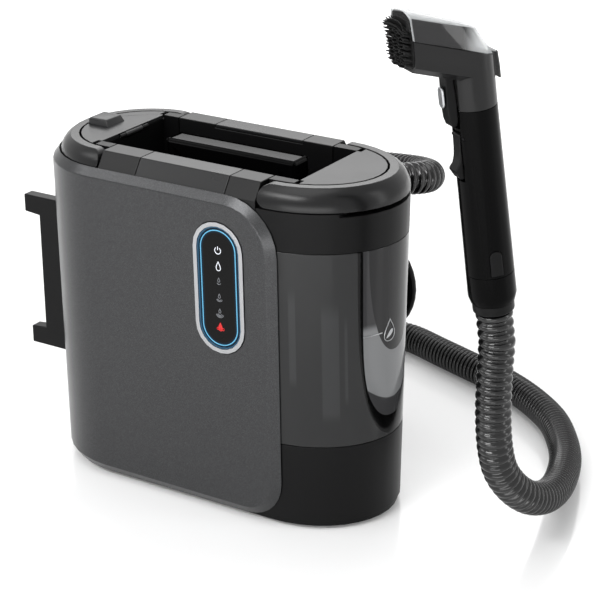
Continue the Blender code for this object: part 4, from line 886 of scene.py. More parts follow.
class Repeater:
    """Two Geometry Nodes trees: one sets rods on points, and one sweeps strokes along edges."""

    def __init__(self, workshop: Workshop) -> None:
        """Builds the two trees.

        Args:
            workshop: Where the pieces are made.
        """
        self.workshop = workshop
        self.rods = self.build_rods()
        self.strokes = self.build_strokes()

    def build_rods(self) -> Wiring:
        """A small tapered rod on every point, along the point's direction.

        Returns:
            The tree's wiring.
        """
        takes = {
            "Points": (Socket.SHAPE, None),
            "Radius": (Socket.NUMBER, 0.001),
            "Tip": (Socket.NUMBER, 0.001),
            "Length": (Socket.NUMBER, 0.004),
            "Sides": (Socket.COUNT, 6),
            "Finish": (Socket.FINISH, None),
        }
        wiring, given, out = new_group("rods_on_points", "GeometryNodeTree", takes, {"Pieces": Socket.SHAPE})
        sizes = {"Vertices": "Sides", "Radius Top": "Tip", "Radius Bottom": "Radius", "Depth": "Length"}
        cone = wiring.add("GeometryNodeMeshCone", {name: given[source] for name, source in sizes.items()})
        way = wiring.add("GeometryNodeInputNamedAttribute", {"Name": "direction"}, data_type="FLOAT_VECTOR")
        turn = wiring.add("FunctionNodeAlignRotationToVector", {"Vector": way.outputs[0]}, axis="Z")
        rods = {"Points": given["Points"], "Instance": cone.outputs["Mesh"], "Rotation": turn.outputs[0]}
        self.close(wiring, given["Finish"], out, wiring.add("GeometryNodeInstanceOnPoints", rods))
        return wiring

    def build_strokes(self) -> Wiring:
        """A round stroke along every edge.

        Returns:
            The tree's wiring.
        """
        takes = {
            "Points": (Socket.SHAPE, None),
            "Radius": (Socket.NUMBER, 0.0003),
            "Sides": (Socket.COUNT, 6),
            "Finish": (Socket.FINISH, None),
        }
        gives = {"Pieces": Socket.SHAPE}
        wiring, given, out = new_group("strokes_on_edges", "GeometryNodeTree", takes, gives)
        line = wiring.add("GeometryNodeMeshToCurve", {"Mesh": given["Points"]})
        circle = {"Resolution": given["Sides"], "Radius": given["Radius"]}
        profile = wiring.add("GeometryNodeCurvePrimitiveCircle", circle)
        sweep = {"Curve": line.outputs[0], "Profile Curve": profile.outputs[0], "Fill Caps": True}
        self.close(wiring, given["Finish"], out, wiring.add("GeometryNodeCurveToMesh", sweep))
        return wiring

    def close(self, wiring: Wiring, finish: Wire, out: bpy.types.Node, shape: bpy.types.Node) -> None:
        """Ends a tree with real geometry and its finish.

        Args:
            wiring: The tree.
            finish: The finish that the tree is given.
            out: The tree's output.
            shape: The node that makes the shape.
        """
        real = wiring.add("GeometryNodeRealizeInstances", {0: shape.outputs[0]})
        dressed = wiring.add("GeometryNodeSetMaterial", {"Geometry": real.outputs[0], "Material": finish})
        wiring.fill(out, {0: dressed.outputs[0]})

    def run(self, obj: bpy.types.Object, wiring: Wiring, **values: object) -> bpy.types.Object:
        """Runs a tree on an object and keeps the result as a plain mesh.

        Args:
            obj: The object that holds the points or edges.
            wiring: The tree.
            **values: The tree's inputs, by name.

        Returns:
            The same object with its new mesh.
        """
        modifier = obj.modifiers.new("repeat", "NODES")
        modifier.node_group = wiring.tree
        for item in wiring.tree.interface.items_tree:
            if item.in_out == "INPUT" and item.name in values:
                modifier[item.identifier] = values[item.name]
        self.workshop.bake(obj)
        return obj

    def rods_at(
        self, name: str, rods: list[tuple[Vector, Vector]], look: Look, body: str, **values: object
    ) -> bpy.types.Object:
        """Rods on points.

        Args:
            name: The piece's name.
            rods: Each rod's middle and direction.
            look: Their finish.
            body: The body that they ride on.
            **values: The tree's sizes.

        Returns:
            The piece.
        """
        obj = self.workshop.mesh_object(name, [middle for middle, _ in rods], [])
        attribute = obj.data.attributes.new("direction", "FLOAT_VECTOR", "POINT")
        attribute.data.foreach_set("vector", np.array([tuple(way) for _, way in rods], np.float32).ravel())
        self.run(obj, self.rods, Finish=self.workshop.materials[look], **values)
        self.workshop.smooth(obj)
        self.workshop.fit(obj, body, look)
        return obj

    def stroke(
        self,
        name: str,
        lines: list[list[Vector]],
        look: Look,
        body: str,
        radius: float,
        material: bpy.types.Material | None = None,
    ) -> bpy.types.Object:
        """Round strokes along lines.

        Args:
            name: The piece's name.
            lines: Each line's places. A line whose ends meet is closed.
            look: The record's finish.
            body: The body that they ride on.
            radius: Half the stroke's thickness.
            material: A material other than the finish's own.

        Returns:
            The piece.
        """
        points, edges = [], []
        for line in lines:
            start = len(points)
            closed = (Vector(line[0]) - Vector(line[-1])).length < WELD
            kept = line[:-1] if closed else line
            points += kept
            edges += [(start + i, start + i + 1) for i in range(len(kept) - 1)]
            if closed:
                edges.append((start + len(kept) - 1, start))
        obj = self.workshop.mesh_object(name, points, [], edges)
        finish = material or self.workshop.materials[look]
        self.run(obj, self.strokes, Radius=radius, Finish=finish)
        self.workshop.smooth(obj, angle=60)
        self.workshop.fit(obj, body, look, material=finish)
        return obj


@dataclass
class Casing:
    """The body's outer mouldings: tray, base, panel, deck, trims and carry bar."""

    workshop: Workshop
    repeater: Repeater
    panel_edge: float = 0.0009
    rim_edge: float = 0.0008
    bar_edge: float = 0.0026
    louvre_rows: int = 8
    louvre_low: float = 0.112
    louvre_step: float = 0.0066
    louvre_span: Flat = (-0.086, -0.034)
    louvre_radius: float = 0.0014
    louvre_sunk: float = 0.0004
    screw_gap: float = 0.022
    screw_radius: float = 0.0034
    screw_taper: float = 0.8
    screw_height: float = 0.0012
    screw_sides: int = 16

    def make(self) -> None:
        """Makes the casing's pieces."""
        shop = self.workshop
        for index in range(1, 5):
            shop.moulded(f"rubber_foot_{index}", Look.RUBBER)
        shop.moulded("base_tray", Look.BLACK, 0.0008)
        shop.moulded("base_housing", Look.BLACK, 0.0006)
        shop.moulded("wrap_panel", Look.PANEL, self.panel_edge, 3, 24)
        shop.moulded("core_housing", Look.BLACK, 0)
        shop.moulded("handle_deck", Look.DECK, self.rim_edge, 3)
        for side in ("front", "back"):
            shop.moulded(f"{side}_rim_trim", Look.TRIM, self.rim_edge, 3, 20)
        shop.moulded("carry_handle", Look.GLOSS, self.bar_edge, 4, 20)
        self.louvres()
        self.screws()

    def louvres(self) -> None:
        """Small bars over the motor's air slots in the back."""
        body = self.workshop.body
        lines = []
        for row in range(self.louvre_rows):
            z = self.louvre_low + row * self.louvre_step
            y = (body.half_width + body.panel_stand) * body.draft(z) - self.louvre_sunk
            lines.append([body.world(x, y, z) for x in self.louvre_span])
        self.repeater.stroke("back_louvres", lines, Look.BLACK, "assembly", self.louvre_radius)

    def screws(self) -> None:
        """Screw heads under the tray, by its feet."""
        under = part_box("base_tray")[0][2]
        middle = self.workshop.body.shift.x
        rods = []
        for index in range(1, 5):
            foot_low, foot_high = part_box(f"rubber_foot_{index}")
            x, y = ((a + b) / 2 for a, b in zip(foot_low[:2], foot_high[:2]))
            inwards = self.screw_gap if x < middle else -self.screw_gap
            rods.append((Vector((x + inwards, y, under)), Vector((0, 0, -1))))
        self.repeater.rods_at(
            "tray_screws",
            rods,
            Look.STEEL,
            "assembly",
            Radius=self.screw_radius,
            Tip=self.screw_taper * self.screw_radius,
            Length=self.screw_height,
            Sides=self.screw_sides,
        )


@dataclass
class Tank:
    """One end of the body: its tank, collar, bail and lid."""

    workshop: Workshop
    name: str
    lid: str
    tabbed: bool = False
    tab_from: float = -0.1450
    tab_to: float = -0.1210
    tab_half: float = 0.0128
    tab_height: float = 0.0066
    tab_insets: Point = (0.001, 0.0035, 0.002)
    tab_sunk: float = 0.0055
    tab_edge: float = 0.0012

    def tab(self) -> None:
        """The lid's raised finger tab: a block with sloped sides."""
        shop = self.workshop
        shift = shop.body.shift
        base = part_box(self.lid)[1][2] - self.tab_sunk
        left, right, side = self.tab_insets
        rows = (
            (self.tab_from, self.tab_to, self.tab_half, base),
            (self.tab_from + left, self.tab_to - right, self.tab_half - side, base + self.tab_height),
        )
        points = [
            (x + shift.x, shift.y + way * half, z)
            for first, last, half, z in rows
            for x in (first, last)
            for way in (-1, 1)
        ]
        faces = [(0, 1, 3, 2), (4, 6, 7, 5), (0, 4, 5, 1), (2, 3, 7, 6), (0, 2, 6, 4), (1, 5, 7, 3)]
        obj = shop.mesh_object(f"{self.lid}_tab", points, faces)
        bevel = obj.modifiers.new("edges", "BEVEL")
        bevel.width, bevel.segments = self.tab_edge, 3
        shop.bake(obj)
        shop.smooth(obj)
        shop.fit(obj, shop.body_of[self.lid], Look.LID)

    def make(self) -> None:
        """Makes the tank's pieces."""
        shop = self.workshop
        shop.moulded(self.name, Look.SMOKE, 0.0009, 3)
        shop.moulded(f"{self.name}_collar", Look.BLACK, 0.0005)
        shop.moulded(f"{self.name}_bail", Look.BAIL, 0.0007, 3, 34)
        shop.moulded(self.lid, Look.LID, 0.0005)
        if self.tabbed:
            self.tab()
        shop.moulded(f"{self.lid}_pin", Look.STEEL, 0)


def drop_outline(half: float, share: float, steps: int = 24, slim: float = 1.4) -> list[Flat]:
    """A drop's outline round its middle, as places across and up. Slim tells how slim its upper end is."""
    turns = [2 * math.pi * i / steps for i in range(steps + 1)]
    return [(share * half * (math.sin(a) * math.sin(a / 2) ** slim), half * math.cos(a)) for a in turns]


@dataclass
class TankMarks:
    """The clean tank's level line and its plain drop sign."""

    workshop: Workshop
    repeater: Repeater
    body: str = "clean_tank_lift"
    right_reach: float = 0.0855
    proud: float = 0.0001
    drop_z: float = 0.1847
    drop_y: float = -0.0102
    drop_half: float = 0.0102
    drop_share: float = 0.94
    level_z: float = 0.1846
    level_from: float = -0.0375
    level_to: float = -0.0195
    level_steps: int = 8
    stroke: float = 0.00042
    wave_points: int = 16
    wave_long: float = 0.52
    wave_thick: float = 0.17
    wave_swell: float = 0.5
    wave_along: Flat = (0.80, 0.62)
    wave_over: float = 0.5
    wave_drop: float = 0.36

    def on_wall(self, y: float, z: float) -> Vector:
        """A place on the tank's round end.

        Args:
            y: Across the body.
            z: Above the floor.

        Returns:
            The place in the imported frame.
        """
        body = self.workshop.body
        wide = body.draft(z)
        share = y / (body.half_width * wide)
        reach = self.right_reach * wide * math.sqrt(1 - share * share)
        return body.world(body.end_centre + reach + self.proud, y, z)

    def wave(self) -> list[Vector]:
        """The slanted swell inside the drop.

        Returns:
            Its outline on the tank.
        """
        outline = []
        for i in range(self.wave_points):
            turn = 2 * math.pi * i / self.wave_points
            along = self.wave_long * math.cos(turn)
            over = self.wave_thick * math.sin(turn) * (1 + self.wave_swell * math.cos(turn))
            across = self.wave_along[0] * along - self.wave_over * over
            down = self.wave_drop - self.wave_along[1] * along - over
            outline.append(
                self.on_wall(self.drop_y + self.drop_half * across, self.drop_z - self.drop_half * down)
            )
        return outline

    def make(self) -> None:
        """Makes the marks."""
        outline = drop_outline(self.drop_half, self.drop_share)
        drop = [self.on_wall(self.drop_y + across, self.drop_z + up) for across, up in outline]
        step = (self.level_to - self.level_from) / self.level_steps
        level = [self.on_wall(self.level_from + i * step, self.level_z) for i in range(self.level_steps + 1)]
        wave = self.workshop.mesh_object("tank_wave_sign", self.wave(), [tuple(range(self.wave_points))])
        self.workshop.fit(wave, self.body, Look.PALE)
        self.repeater.stroke("tank_drop_sign", [drop], Look.SILVER, self.body, self.stroke)
        self.repeater.stroke("tank_level_line", [level], Look.SILVER, self.body, self.stroke)


class Sign(Enum):
    """The display's plain signs, from top to bottom."""

    POWER = "power"
    DROP = "drop"
    MIST = "mist"
    LOW = "low"
    HIGH = "high"
    ALERT = "alert"


@dataclass
class Display:
    """The upright display on the front of the panel. The signs' places are in shares of half a sign."""

    workshop: Workshop
    repeater: Repeater
    centre_x: float = 0.0473
    half_sign: float = 0.0036
    stroke: float = 0.00030
    bold: float = 0.00035
    proud: float = 0.0001
    line_radius: float = 0.00046
    light: Point = (0.13, 0.47, 0.72)
    white: Point = (0.9, 0.93, 1.0)
    grey: Point = (0.24, 0.25, 0.27)
    red: Point = (0.62, 0.012, 0.012)
    grey_strength: float = 0.6
    heights: tuple[float, ...] = (0.2560, 0.2416, 0.2270, 0.2120, 0.1980, 0.1842)
    drop_share: float = 0.75
    drop_half: float = 1.15
    power_ring: Point = (0.85, 125, 415)
    power_stem: Flat = (0.2, 1.05)
    alert_drop: Flat = (0.15, 1.05)
    alert_puffs: Flat = (-0.70, 0.78)
    alert_puff: Flat = (-0.40, 0.30)
    alert_fill: tuple[float, ...] = (-0.5, -0.25, 0.0, 0.25, 0.5)
    alert_rise: Flat = (-0.7, 0.8)
    alert_narrow: float = 0.4
    mist_drop: Flat = (0.5, 0.55)
    mist_arc: Point = (-0.1, 0.55, 0.3)
    mist_span: Flat = (200, 340)

    def spot(self, across: float, up: float, z: float) -> Vector:
        """A place on the glass, across and up from a sign's middle in shares of half a sign."""
        half = self.half_sign
        return self.workshop.body.glass(self.centre_x + across * half, z + up * half, self.proud)

    def ring(
        self, x: float, z: float, radius: float, start: float, stop: float, steps: int = 20
    ) -> list[Vector]:
        """Part of a circle on the glass.

        Args:
            x: The centre's place along the body.
            z: The centre's height.
            radius: The circle's radius.
            start: The first angle in degrees, from the right.
            stop: The last angle in degrees.
            steps: How many straight pieces it has.

        Returns:
            The places.
        """
        angles = [math.radians(start + (stop - start) * i / steps) for i in range(steps + 1)]
        glass = self.workshop.body.glass
        return [glass(x + radius * math.cos(a), z + radius * math.sin(a), self.proud) for a in angles]

    def drop(self, z: float, half: float) -> list[Vector]:
        """A drop's outline on the glass.

        Args:
            z: The centre's height.
            half: Half the drop's height.

        Returns:
            The places.
        """
        glass = self.workshop.body.glass
        outline = drop_outline(half, self.drop_share)
        return [glass(self.centre_x + across, z + up, self.proud) for across, up in outline]

    def lines_of(self, sign: Sign, z: float) -> list[list[Vector]]:
        """A sign's lines.

        Args:
            sign: The sign.
            z: Its height.

        Returns:
            Its lines' places.
        """
        x, half = self.centre_x, self.half_sign
        if sign is Sign.POWER:
            share, start, stop = self.power_ring
            stem = [self.spot(0, up, z) for up in self.power_stem]
            return [self.ring(x, z, share * half, start, stop), stem]
        if sign is Sign.DROP:
            return [self.drop(z, self.drop_half * half)]
        if sign is Sign.ALERT:
            up, share = self.alert_puff
            circle = (z + up * half, share * half, 0, 360, 12)
            puffs = [self.ring(x + k * half, *circle) for k in self.alert_puffs]
            low, high = self.alert_rise
            narrow = self.alert_narrow
            fill = [[self.spot(k, low, z), self.spot(narrow * k, high, z)] for k in self.alert_fill]
            up, share = self.alert_drop
            return [self.drop(z + up * half, share * half), *puffs, *fill]
        up, share = self.mist_drop
        lines = [self.drop(z + up * half, share * half)]
        up, share, more = self.mist_arc
        for i in range({Sign.MIST: 1, Sign.LOW: 2, Sign.HIGH: 3}[sign]):
            lines.append(self.ring(x, z + up * half, (share + more * i) * half, *self.mist_span, 8))
        return lines

    def light_line(self) -> None:
        """The lit line that runs round the glass near its edge."""
        low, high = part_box("display_glass")
        x, z = (low[0] + high[0]) / 2 - self.workshop.body.shift.x, (low[2] + high[2]) / 2
        half, tall = ((high[axis] - low[axis]) / 2 - LIGHT_LINE_INSET for axis in (0, 2))
        rise = tall - half
        line = self.ring(x, z + rise, half, 0, 180, 40) + self.ring(x, z - rise, half, 180, 360, 40)
        line.append(line[0])
        lamp = Lamp(self.light).build("light_line")
        self.repeater.stroke("display_light_line", [line], Look.GLOW, "assembly", self.line_radius, lamp)

    def make(self) -> None:
        """Makes the display's pieces."""
        shop = self.workshop
        self.light_line()
        shop.moulded("display_bezel", Look.SILVER, 0.0005)
        shop.moulded("light_ring", Look.GLOW, 0.0001, 1)
        shop.moulded("display_glass", Look.DISPLAY, 0.0003)
        shop.moulded("display_board", Look.BOARD, 0)
        white = Lamp(self.white).build("sign_white")
        grey = Lamp(self.grey, self.grey_strength).build("sign_grey")
        red = Lamp(self.red).build("sign_red")
        for sign, z, lamp in zip(Sign, self.heights, (white, white, grey, grey, grey, red)):
            stroke = self.stroke if lamp is grey else self.bold
            name = f"sign_{sign.value}"
            self.repeater.stroke(name, self.lines_of(sign, z), Look.GLOW, "assembly", stroke, lamp)


@dataclass
class Fittings:
    """What the body holds inside, and what stands on its back and its left end."""

    workshop: Workshop
    inner_edge: float = 0.0003

    def make(self) -> None:
        """Makes the fittings."""
        inner = (
            ("suction_motor", Look.STEEL),
            ("motor_mount", Look.RUBBER),
            ("fan_impeller", Look.INNER),
            ("fan_cover", Look.BLACK),
            ("steam_boiler", Look.ALLOY),
            ("water_pump", Look.INNER),
            ("control_board", Look.BOARD),
            ("separator_tube", Look.INNER),
            ("float", Look.INNER),
            ("tank_valve", Look.RUBBER),
        )
        outer = (
            ("hose_outlet", Look.BLACK, 0.0005),
            ("cable_hub", Look.BLACK, 0.0006),
            ("cord_gland", Look.RUBBER, 0.0005),
            ("side_cleat", Look.BLACK, 0.0004),
        )
        for row in (*((node, look, self.inner_edge, 1) for node, look in inner), *outer):
            self.workshop.moulded(*row)


@dataclass
class Hose:
    """The ribbed hose from the body's back to the handset."""

    workshop: Workshop
    radius: float = 0.01525
    valley_share: float = 0.78
    crest_share: float = 0.36
    rings_per_rib: int = 10
    pitch_places: tuple[float, ...] = (0.0, 0.20, 0.34, 0.78, 1.0)
    pitches: tuple[float, ...] = (0.0084, 0.0080, 0.0052, 0.0052, 0.0062)
    sides: int = 28
    start: Point = (0.0050, 0.10646, 0.2740)
    end_height: float = 0.2480
    lean: float = math.radians(7.6)
    fine_steps: int = 4000
    smooth_angle: float = 70
    route: tuple[Point, ...] = (
        (0.062, 0.1065, 0.2735),
        (0.092, 0.1120, 0.2725),
        (0.114, 0.1340, 0.2700),
        (0.116, 0.1620, 0.2645),
        (0.095, 0.1850, 0.2580),
        (0.062, 0.1980, 0.2520),
        (0.012, 0.2100, 0.2430),
        (-0.045, 0.2260, 0.2290),
        (-0.092, 0.2420, 0.1960),
        (-0.120, 0.2590, 0.1490),
        (-0.124, 0.2770, 0.1000),
        (-0.107, 0.2940, 0.0570),
        (-0.074, 0.3100, 0.0290),
        (-0.034, 0.3230, 0.0170),
        (0.005, 0.3270, 0.0155),
        (0.052, 0.3110, 0.0155),
        (0.096, 0.2950, 0.0155),
        (0.131, 0.2830, 0.0155),
        (0.167, 0.2654, 0.0155),
        (0.198, 0.2450, 0.0155),
        (0.227, 0.2200, 0.0155),
        (0.253, 0.1860, 0.0155),
        (0.272, 0.1530, 0.0165),
        (0.288, 0.1130, 0.0205),
        (0.300, 0.0720, 0.0275),
        (0.306, 0.0340, 0.0380),
        (0.306, 0.0030, 0.0525),
        (0.302, -0.0190, 0.0710),
        (0.2985, -0.0350, 0.0930),
        (0.2980, -0.0450, 0.1180),
        (0.2985, -0.0510, 0.1480),
        (0.2995, -0.0535, 0.1840),
    )

    def centreline(self) -> np.ndarray:
        """The hose's middle line, with straight ends one hose width long.

        Returns:
            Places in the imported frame, close together.
        """
        width = 2 * self.radius
        body = self.workshop.body
        turn = Matrix.Rotation(body.handset_turn, 3, "Z") @ Matrix.Rotation(self.lean, 3, "Y")
        end = Vector((*body.handset, self.end_height))
        last = end - turn @ Vector((0, 0, 1)) * width
        x, y, z = self.start
        inner = self.smooth_route([(x + width, y, z), *self.route, tuple(last)])
        return np.array([self.start, *inner, tuple(end)]) + np.array(body.shift)

    def smooth_route(self, points: list[Point], steps: int = 24) -> np.ndarray:
        """A smooth curve through places.

        Args:
            points: The places.
            steps: How many pieces lie between two of them.

        Returns:
            The curve's places.
        """
        spots = np.array([points[0], *points, points[-1]], float)
        spots[0] = 2 * spots[1] - spots[2]
        spots[-1] = 2 * spots[-2] - spots[-3]
        knots = np.concatenate([[0], np.cumsum(np.linalg.norm(np.diff(spots, axis=0), axis=1) ** 0.5)])
        line = []
        for i in range(1, len(spots) - 2):
            t0, t1, t2, t3 = knots[i - 1 : i + 3]
            p0, p1, p2, p3 = spots[i - 1 : i + 3]
            for t in np.linspace(t1, t2, steps, endpoint=False):
                a1 = ((t1 - t) * p0 + (t - t0) * p1) / (t1 - t0)
                a2 = ((t2 - t) * p1 + (t - t1) * p2) / (t2 - t1)
                a3 = ((t3 - t) * p2 + (t - t2) * p3) / (t3 - t2)
                b1 = ((t2 - t) * a1 + (t - t0) * a2) / (t2 - t0)
                b2 = ((t3 - t) * a2 + (t - t1) * a3) / (t3 - t1)
                line.append(((t2 - t) * b1 + (t - t1) * b2) / (t2 - t1))
        return np.array([*line, spots[-2]])

    def walked(self, line: np.ndarray) -> np.ndarray:
        """How far along a line each of its places is."""
        return np.concatenate([[0], np.cumsum(np.linalg.norm(np.diff(line, axis=0), axis=1))])

    def places(self, line: np.ndarray, at: np.ndarray) -> np.ndarray:
        """A line's places at distances from its start."""
        along = self.walked(line)
        return np.stack([np.interp(at, along, line[:, k]) for k in range(3)], axis=1)

    def rings(self, line: np.ndarray) -> tuple[np.ndarray, int]:
        """Places along the line, so many to a rib. The ribs stand wide at the handset and close elsewhere.

        Args:
            line: The hose's middle line, from the body to the handset.

        Returns:
            The places and the number of ribs.
        """
        along = self.walked(line)
        fine = np.linspace(0, along[-1], self.fine_steps)
        pitch = np.interp(along[-1] - fine, self.pitch_places, self.pitches)
        turns = np.concatenate([[0], np.cumsum(np.diff(fine) / pitch[1:])])
        ribs = round(float(turns[-1]))
        turns *= ribs / turns[-1]
        at = np.interp(np.arange(ribs * self.rings_per_rib + 1) / self.rings_per_rib, turns, fine)
        return self.places(line, at), ribs

    def skin(self, spots: np.ndarray) -> tuple[list, list]:
        """The ribbed skin round the middle line.

        Args:
            spots: The places of its rings.

        Returns:
            Its points and its faces.
        """
        along = np.gradient(spots, axis=0)
        along /= np.linalg.norm(along, axis=1)[:, None]
        side = np.cross(along[0], (0, 0, 1.0))
        points = []
        for i, (spot, ahead) in enumerate(zip(spots, along)):
            side = side - ahead * side.dot(ahead)
            side /= np.linalg.norm(side)
            up = np.cross(ahead, side)
            off = (i % self.rings_per_rib / self.rings_per_rib - 0.5) / self.crest_share
            crest = math.sqrt(max(0.0, 1 - off * off))
            radius = self.radius * (self.valley_share + (1 - self.valley_share) * crest)
            for k in range(self.sides):
                angle = 2 * math.pi * k / self.sides
                points.append(spot + radius * (math.cos(angle) * side + math.sin(angle) * up))
        faces = []
        count = len(spots) - 1
        for i in range(count):
            for k in range(self.sides):
                j = (k + 1) % self.sides
                low, high = i * self.sides, (i + 1) * self.sides
                faces.append((low + k, low + j, high + j, high + k))
        faces.append(tuple(range(self.sides))[::-1])
        faces.append(tuple(range(count * self.sides, (count + 1) * self.sides)))
        return points, faces

    def make(self) -> None:
        line = self.centreline()
        spots, ribs = self.rings(line)
        obj = self.workshop.mesh_object("ribbed_hose", *self.skin(spots))
        bm = bmesh.new()
        bm.from_mesh(obj.data)
        bmesh.ops.recalc_face_normals(bm, faces=bm.faces)
        bm.to_mesh(obj.data)
        bm.free()
        self.workshop.smooth(obj, self.smooth_angle)
        self.workshop.fit(obj, "assembly", Look.HOSE, "hose")


@dataclass
class Handset:
    """The handset: its grip, triggers, head, clear cover and brush."""

    workshop: Workshop
    repeater: Repeater
    mouth: float = 0.0668
    bristle_half: float = 0.0155
    bristle_low: float = -0.0215
    bristle_high: float = 0.0055
    bristle_step: float = 0.0024
    bristle_radius: float = 0.00080
    bristle_taper: float = 0.6
    bristle_length: float = 0.0052
    bristle_sides: int = 5
    bristle_lean: float = 0.10
    lean_waves: Flat = (37.0, 11.0)
    plate_low: float = 0.0245
    plate_power: float = 4
    fringe_rows: int = 3
    fringe_columns: int = 9
    fringe_half: float = 0.0125
    fringe_z: float = 0.0046
    fringe_slant_z: float = 0.0045
    fringe_share: float = 0.8
    fringe_ahead: Flat = (1.1, 0.8)
    fringe_rise: Flat = (0.85, 0.6)
    fringe_spread: float = 0.25

    def short_bristles(self, head: Matrix) -> list[tuple[Vector, Vector]]:
        """Short bristles all over the brush plate, between its teeth.

        Args:
            head: The head's frame.

        Returns:
            Each bristle's middle and direction.
        """
        ahead = head.to_3x3() @ Vector((1, 0, 0))
        bristles = []
        for row in range(int((self.bristle_high - self.bristle_low) / self.bristle_step) + 1):
            z = self.bristle_low + row * self.bristle_step
            round_off = max(0.0, -z / self.plate_low) ** self.plate_power
            half = self.bristle_half * math.sqrt(max(0.0, 1 - round_off))
            for column in range(int(2 * self.bristle_half / self.bristle_step) + 1):
                y = -self.bristle_half + column * self.bristle_step + (row % 2) * self.bristle_step / 2
                if abs(y) > half:
                    continue
                x = self.mouth + MOUTH_SLANT * z + self.bristle_length / 2
                lean = self.bristle_lean * math.sin(self.lean_waves[0] * row + self.lean_waves[1] * column)
                way = (ahead + Vector((lean, 0.5 * lean, lean))).normalized()
                bristles.append((head @ Vector((x, y, z)), way))
        return bristles

    def fringe(self, head: Matrix) -> list[tuple[Vector, Vector]]:
        """A fan of bristles along the plate's upper edge, from straight ahead to steeply up.

        Args:
            head: The head's frame.

        Returns:
            Each bristle's middle and direction.
        """
        ahead, across, top = (head.to_3x3() @ Vector(axis) for axis in ((1, 0, 0), (0, 1, 0), (0, 0, 1)))
        x = self.mouth + MOUTH_SLANT * self.fringe_slant_z
        bristles = []
        for row in range(self.fringe_rows):
            rise = (row + 1) / self.fringe_rows
            for column in range(-self.fringe_columns, self.fringe_columns + 1):
                share = column / self.fringe_columns
                way = ahead * (self.fringe_ahead[0] - self.fringe_ahead[1] * rise)
                way += top * rise * (self.fringe_rise[0] - self.fringe_rise[1] * share * share)
                way = (way + across * self.fringe_spread * share).normalized()
                root = head @ Vector((x, share * self.fringe_half, self.fringe_z))
                bristles.append((root + way * self.fringe_share * self.bristle_length, way))
        return bristles

    def bristles(self) -> None:
        """Makes the brush's bristles."""
        head = self.workshop.body.head_frame()
        self.repeater.rods_at(
            "brush_bristles",
            self.short_bristles(head) + self.fringe(head),
            Look.RUBBER,
            "assembly",
            Radius=self.bristle_radius,
            Tip=self.bristle_radius * self.bristle_taper,
            Length=self.bristle_length,
            Sides=self.bristle_sides,
        )

    def make(self) -> None:
        """Makes the handset's pieces."""
        shop = self.workshop
        rows = (
            ("cuff_ring", Look.BLACK, 0.0004),
            ("hose_cuff", Look.GLOSS, 0.0005),
            ("grip_half_near", Look.GLOSS, 0.0002),
            ("grip_half_far", Look.GLOSS, 0.0002),
            ("cuff_release", Look.BLACK, 0.0003),
            ("handset_duct", Look.INNER, 0),
            ("spray_trigger", Look.BLACK, 0.0004),
            ("spray_trigger_cap", Look.PALE, 0.0003),
            ("spray_trigger_pin", Look.DARK_STEEL, 0),
            ("steam_trigger", Look.BLACK, 0.0004),
            ("steam_trigger_pin", Look.DARK_STEEL, 0),
            ("head_housing", Look.BAIL, 0.0005),
            ("clear_cover", Look.CLEAR, 0.0003),
            ("brush_head", Look.RUBBER, 0.0002),
            ("spray_nozzle", Look.SILVER, 0.0002),
        )
        for node, look, edge in rows:
            shop.moulded(node, look, edge)
        self.bristles()


@dataclass(frozen=True)
class Softbox:
    """One large lamp: where it stands round the object in degrees, its distance, size and power in watts."""

    name: str
    azimuth: float
    elevation: float
    distance: float
    size: Flat
    power: float


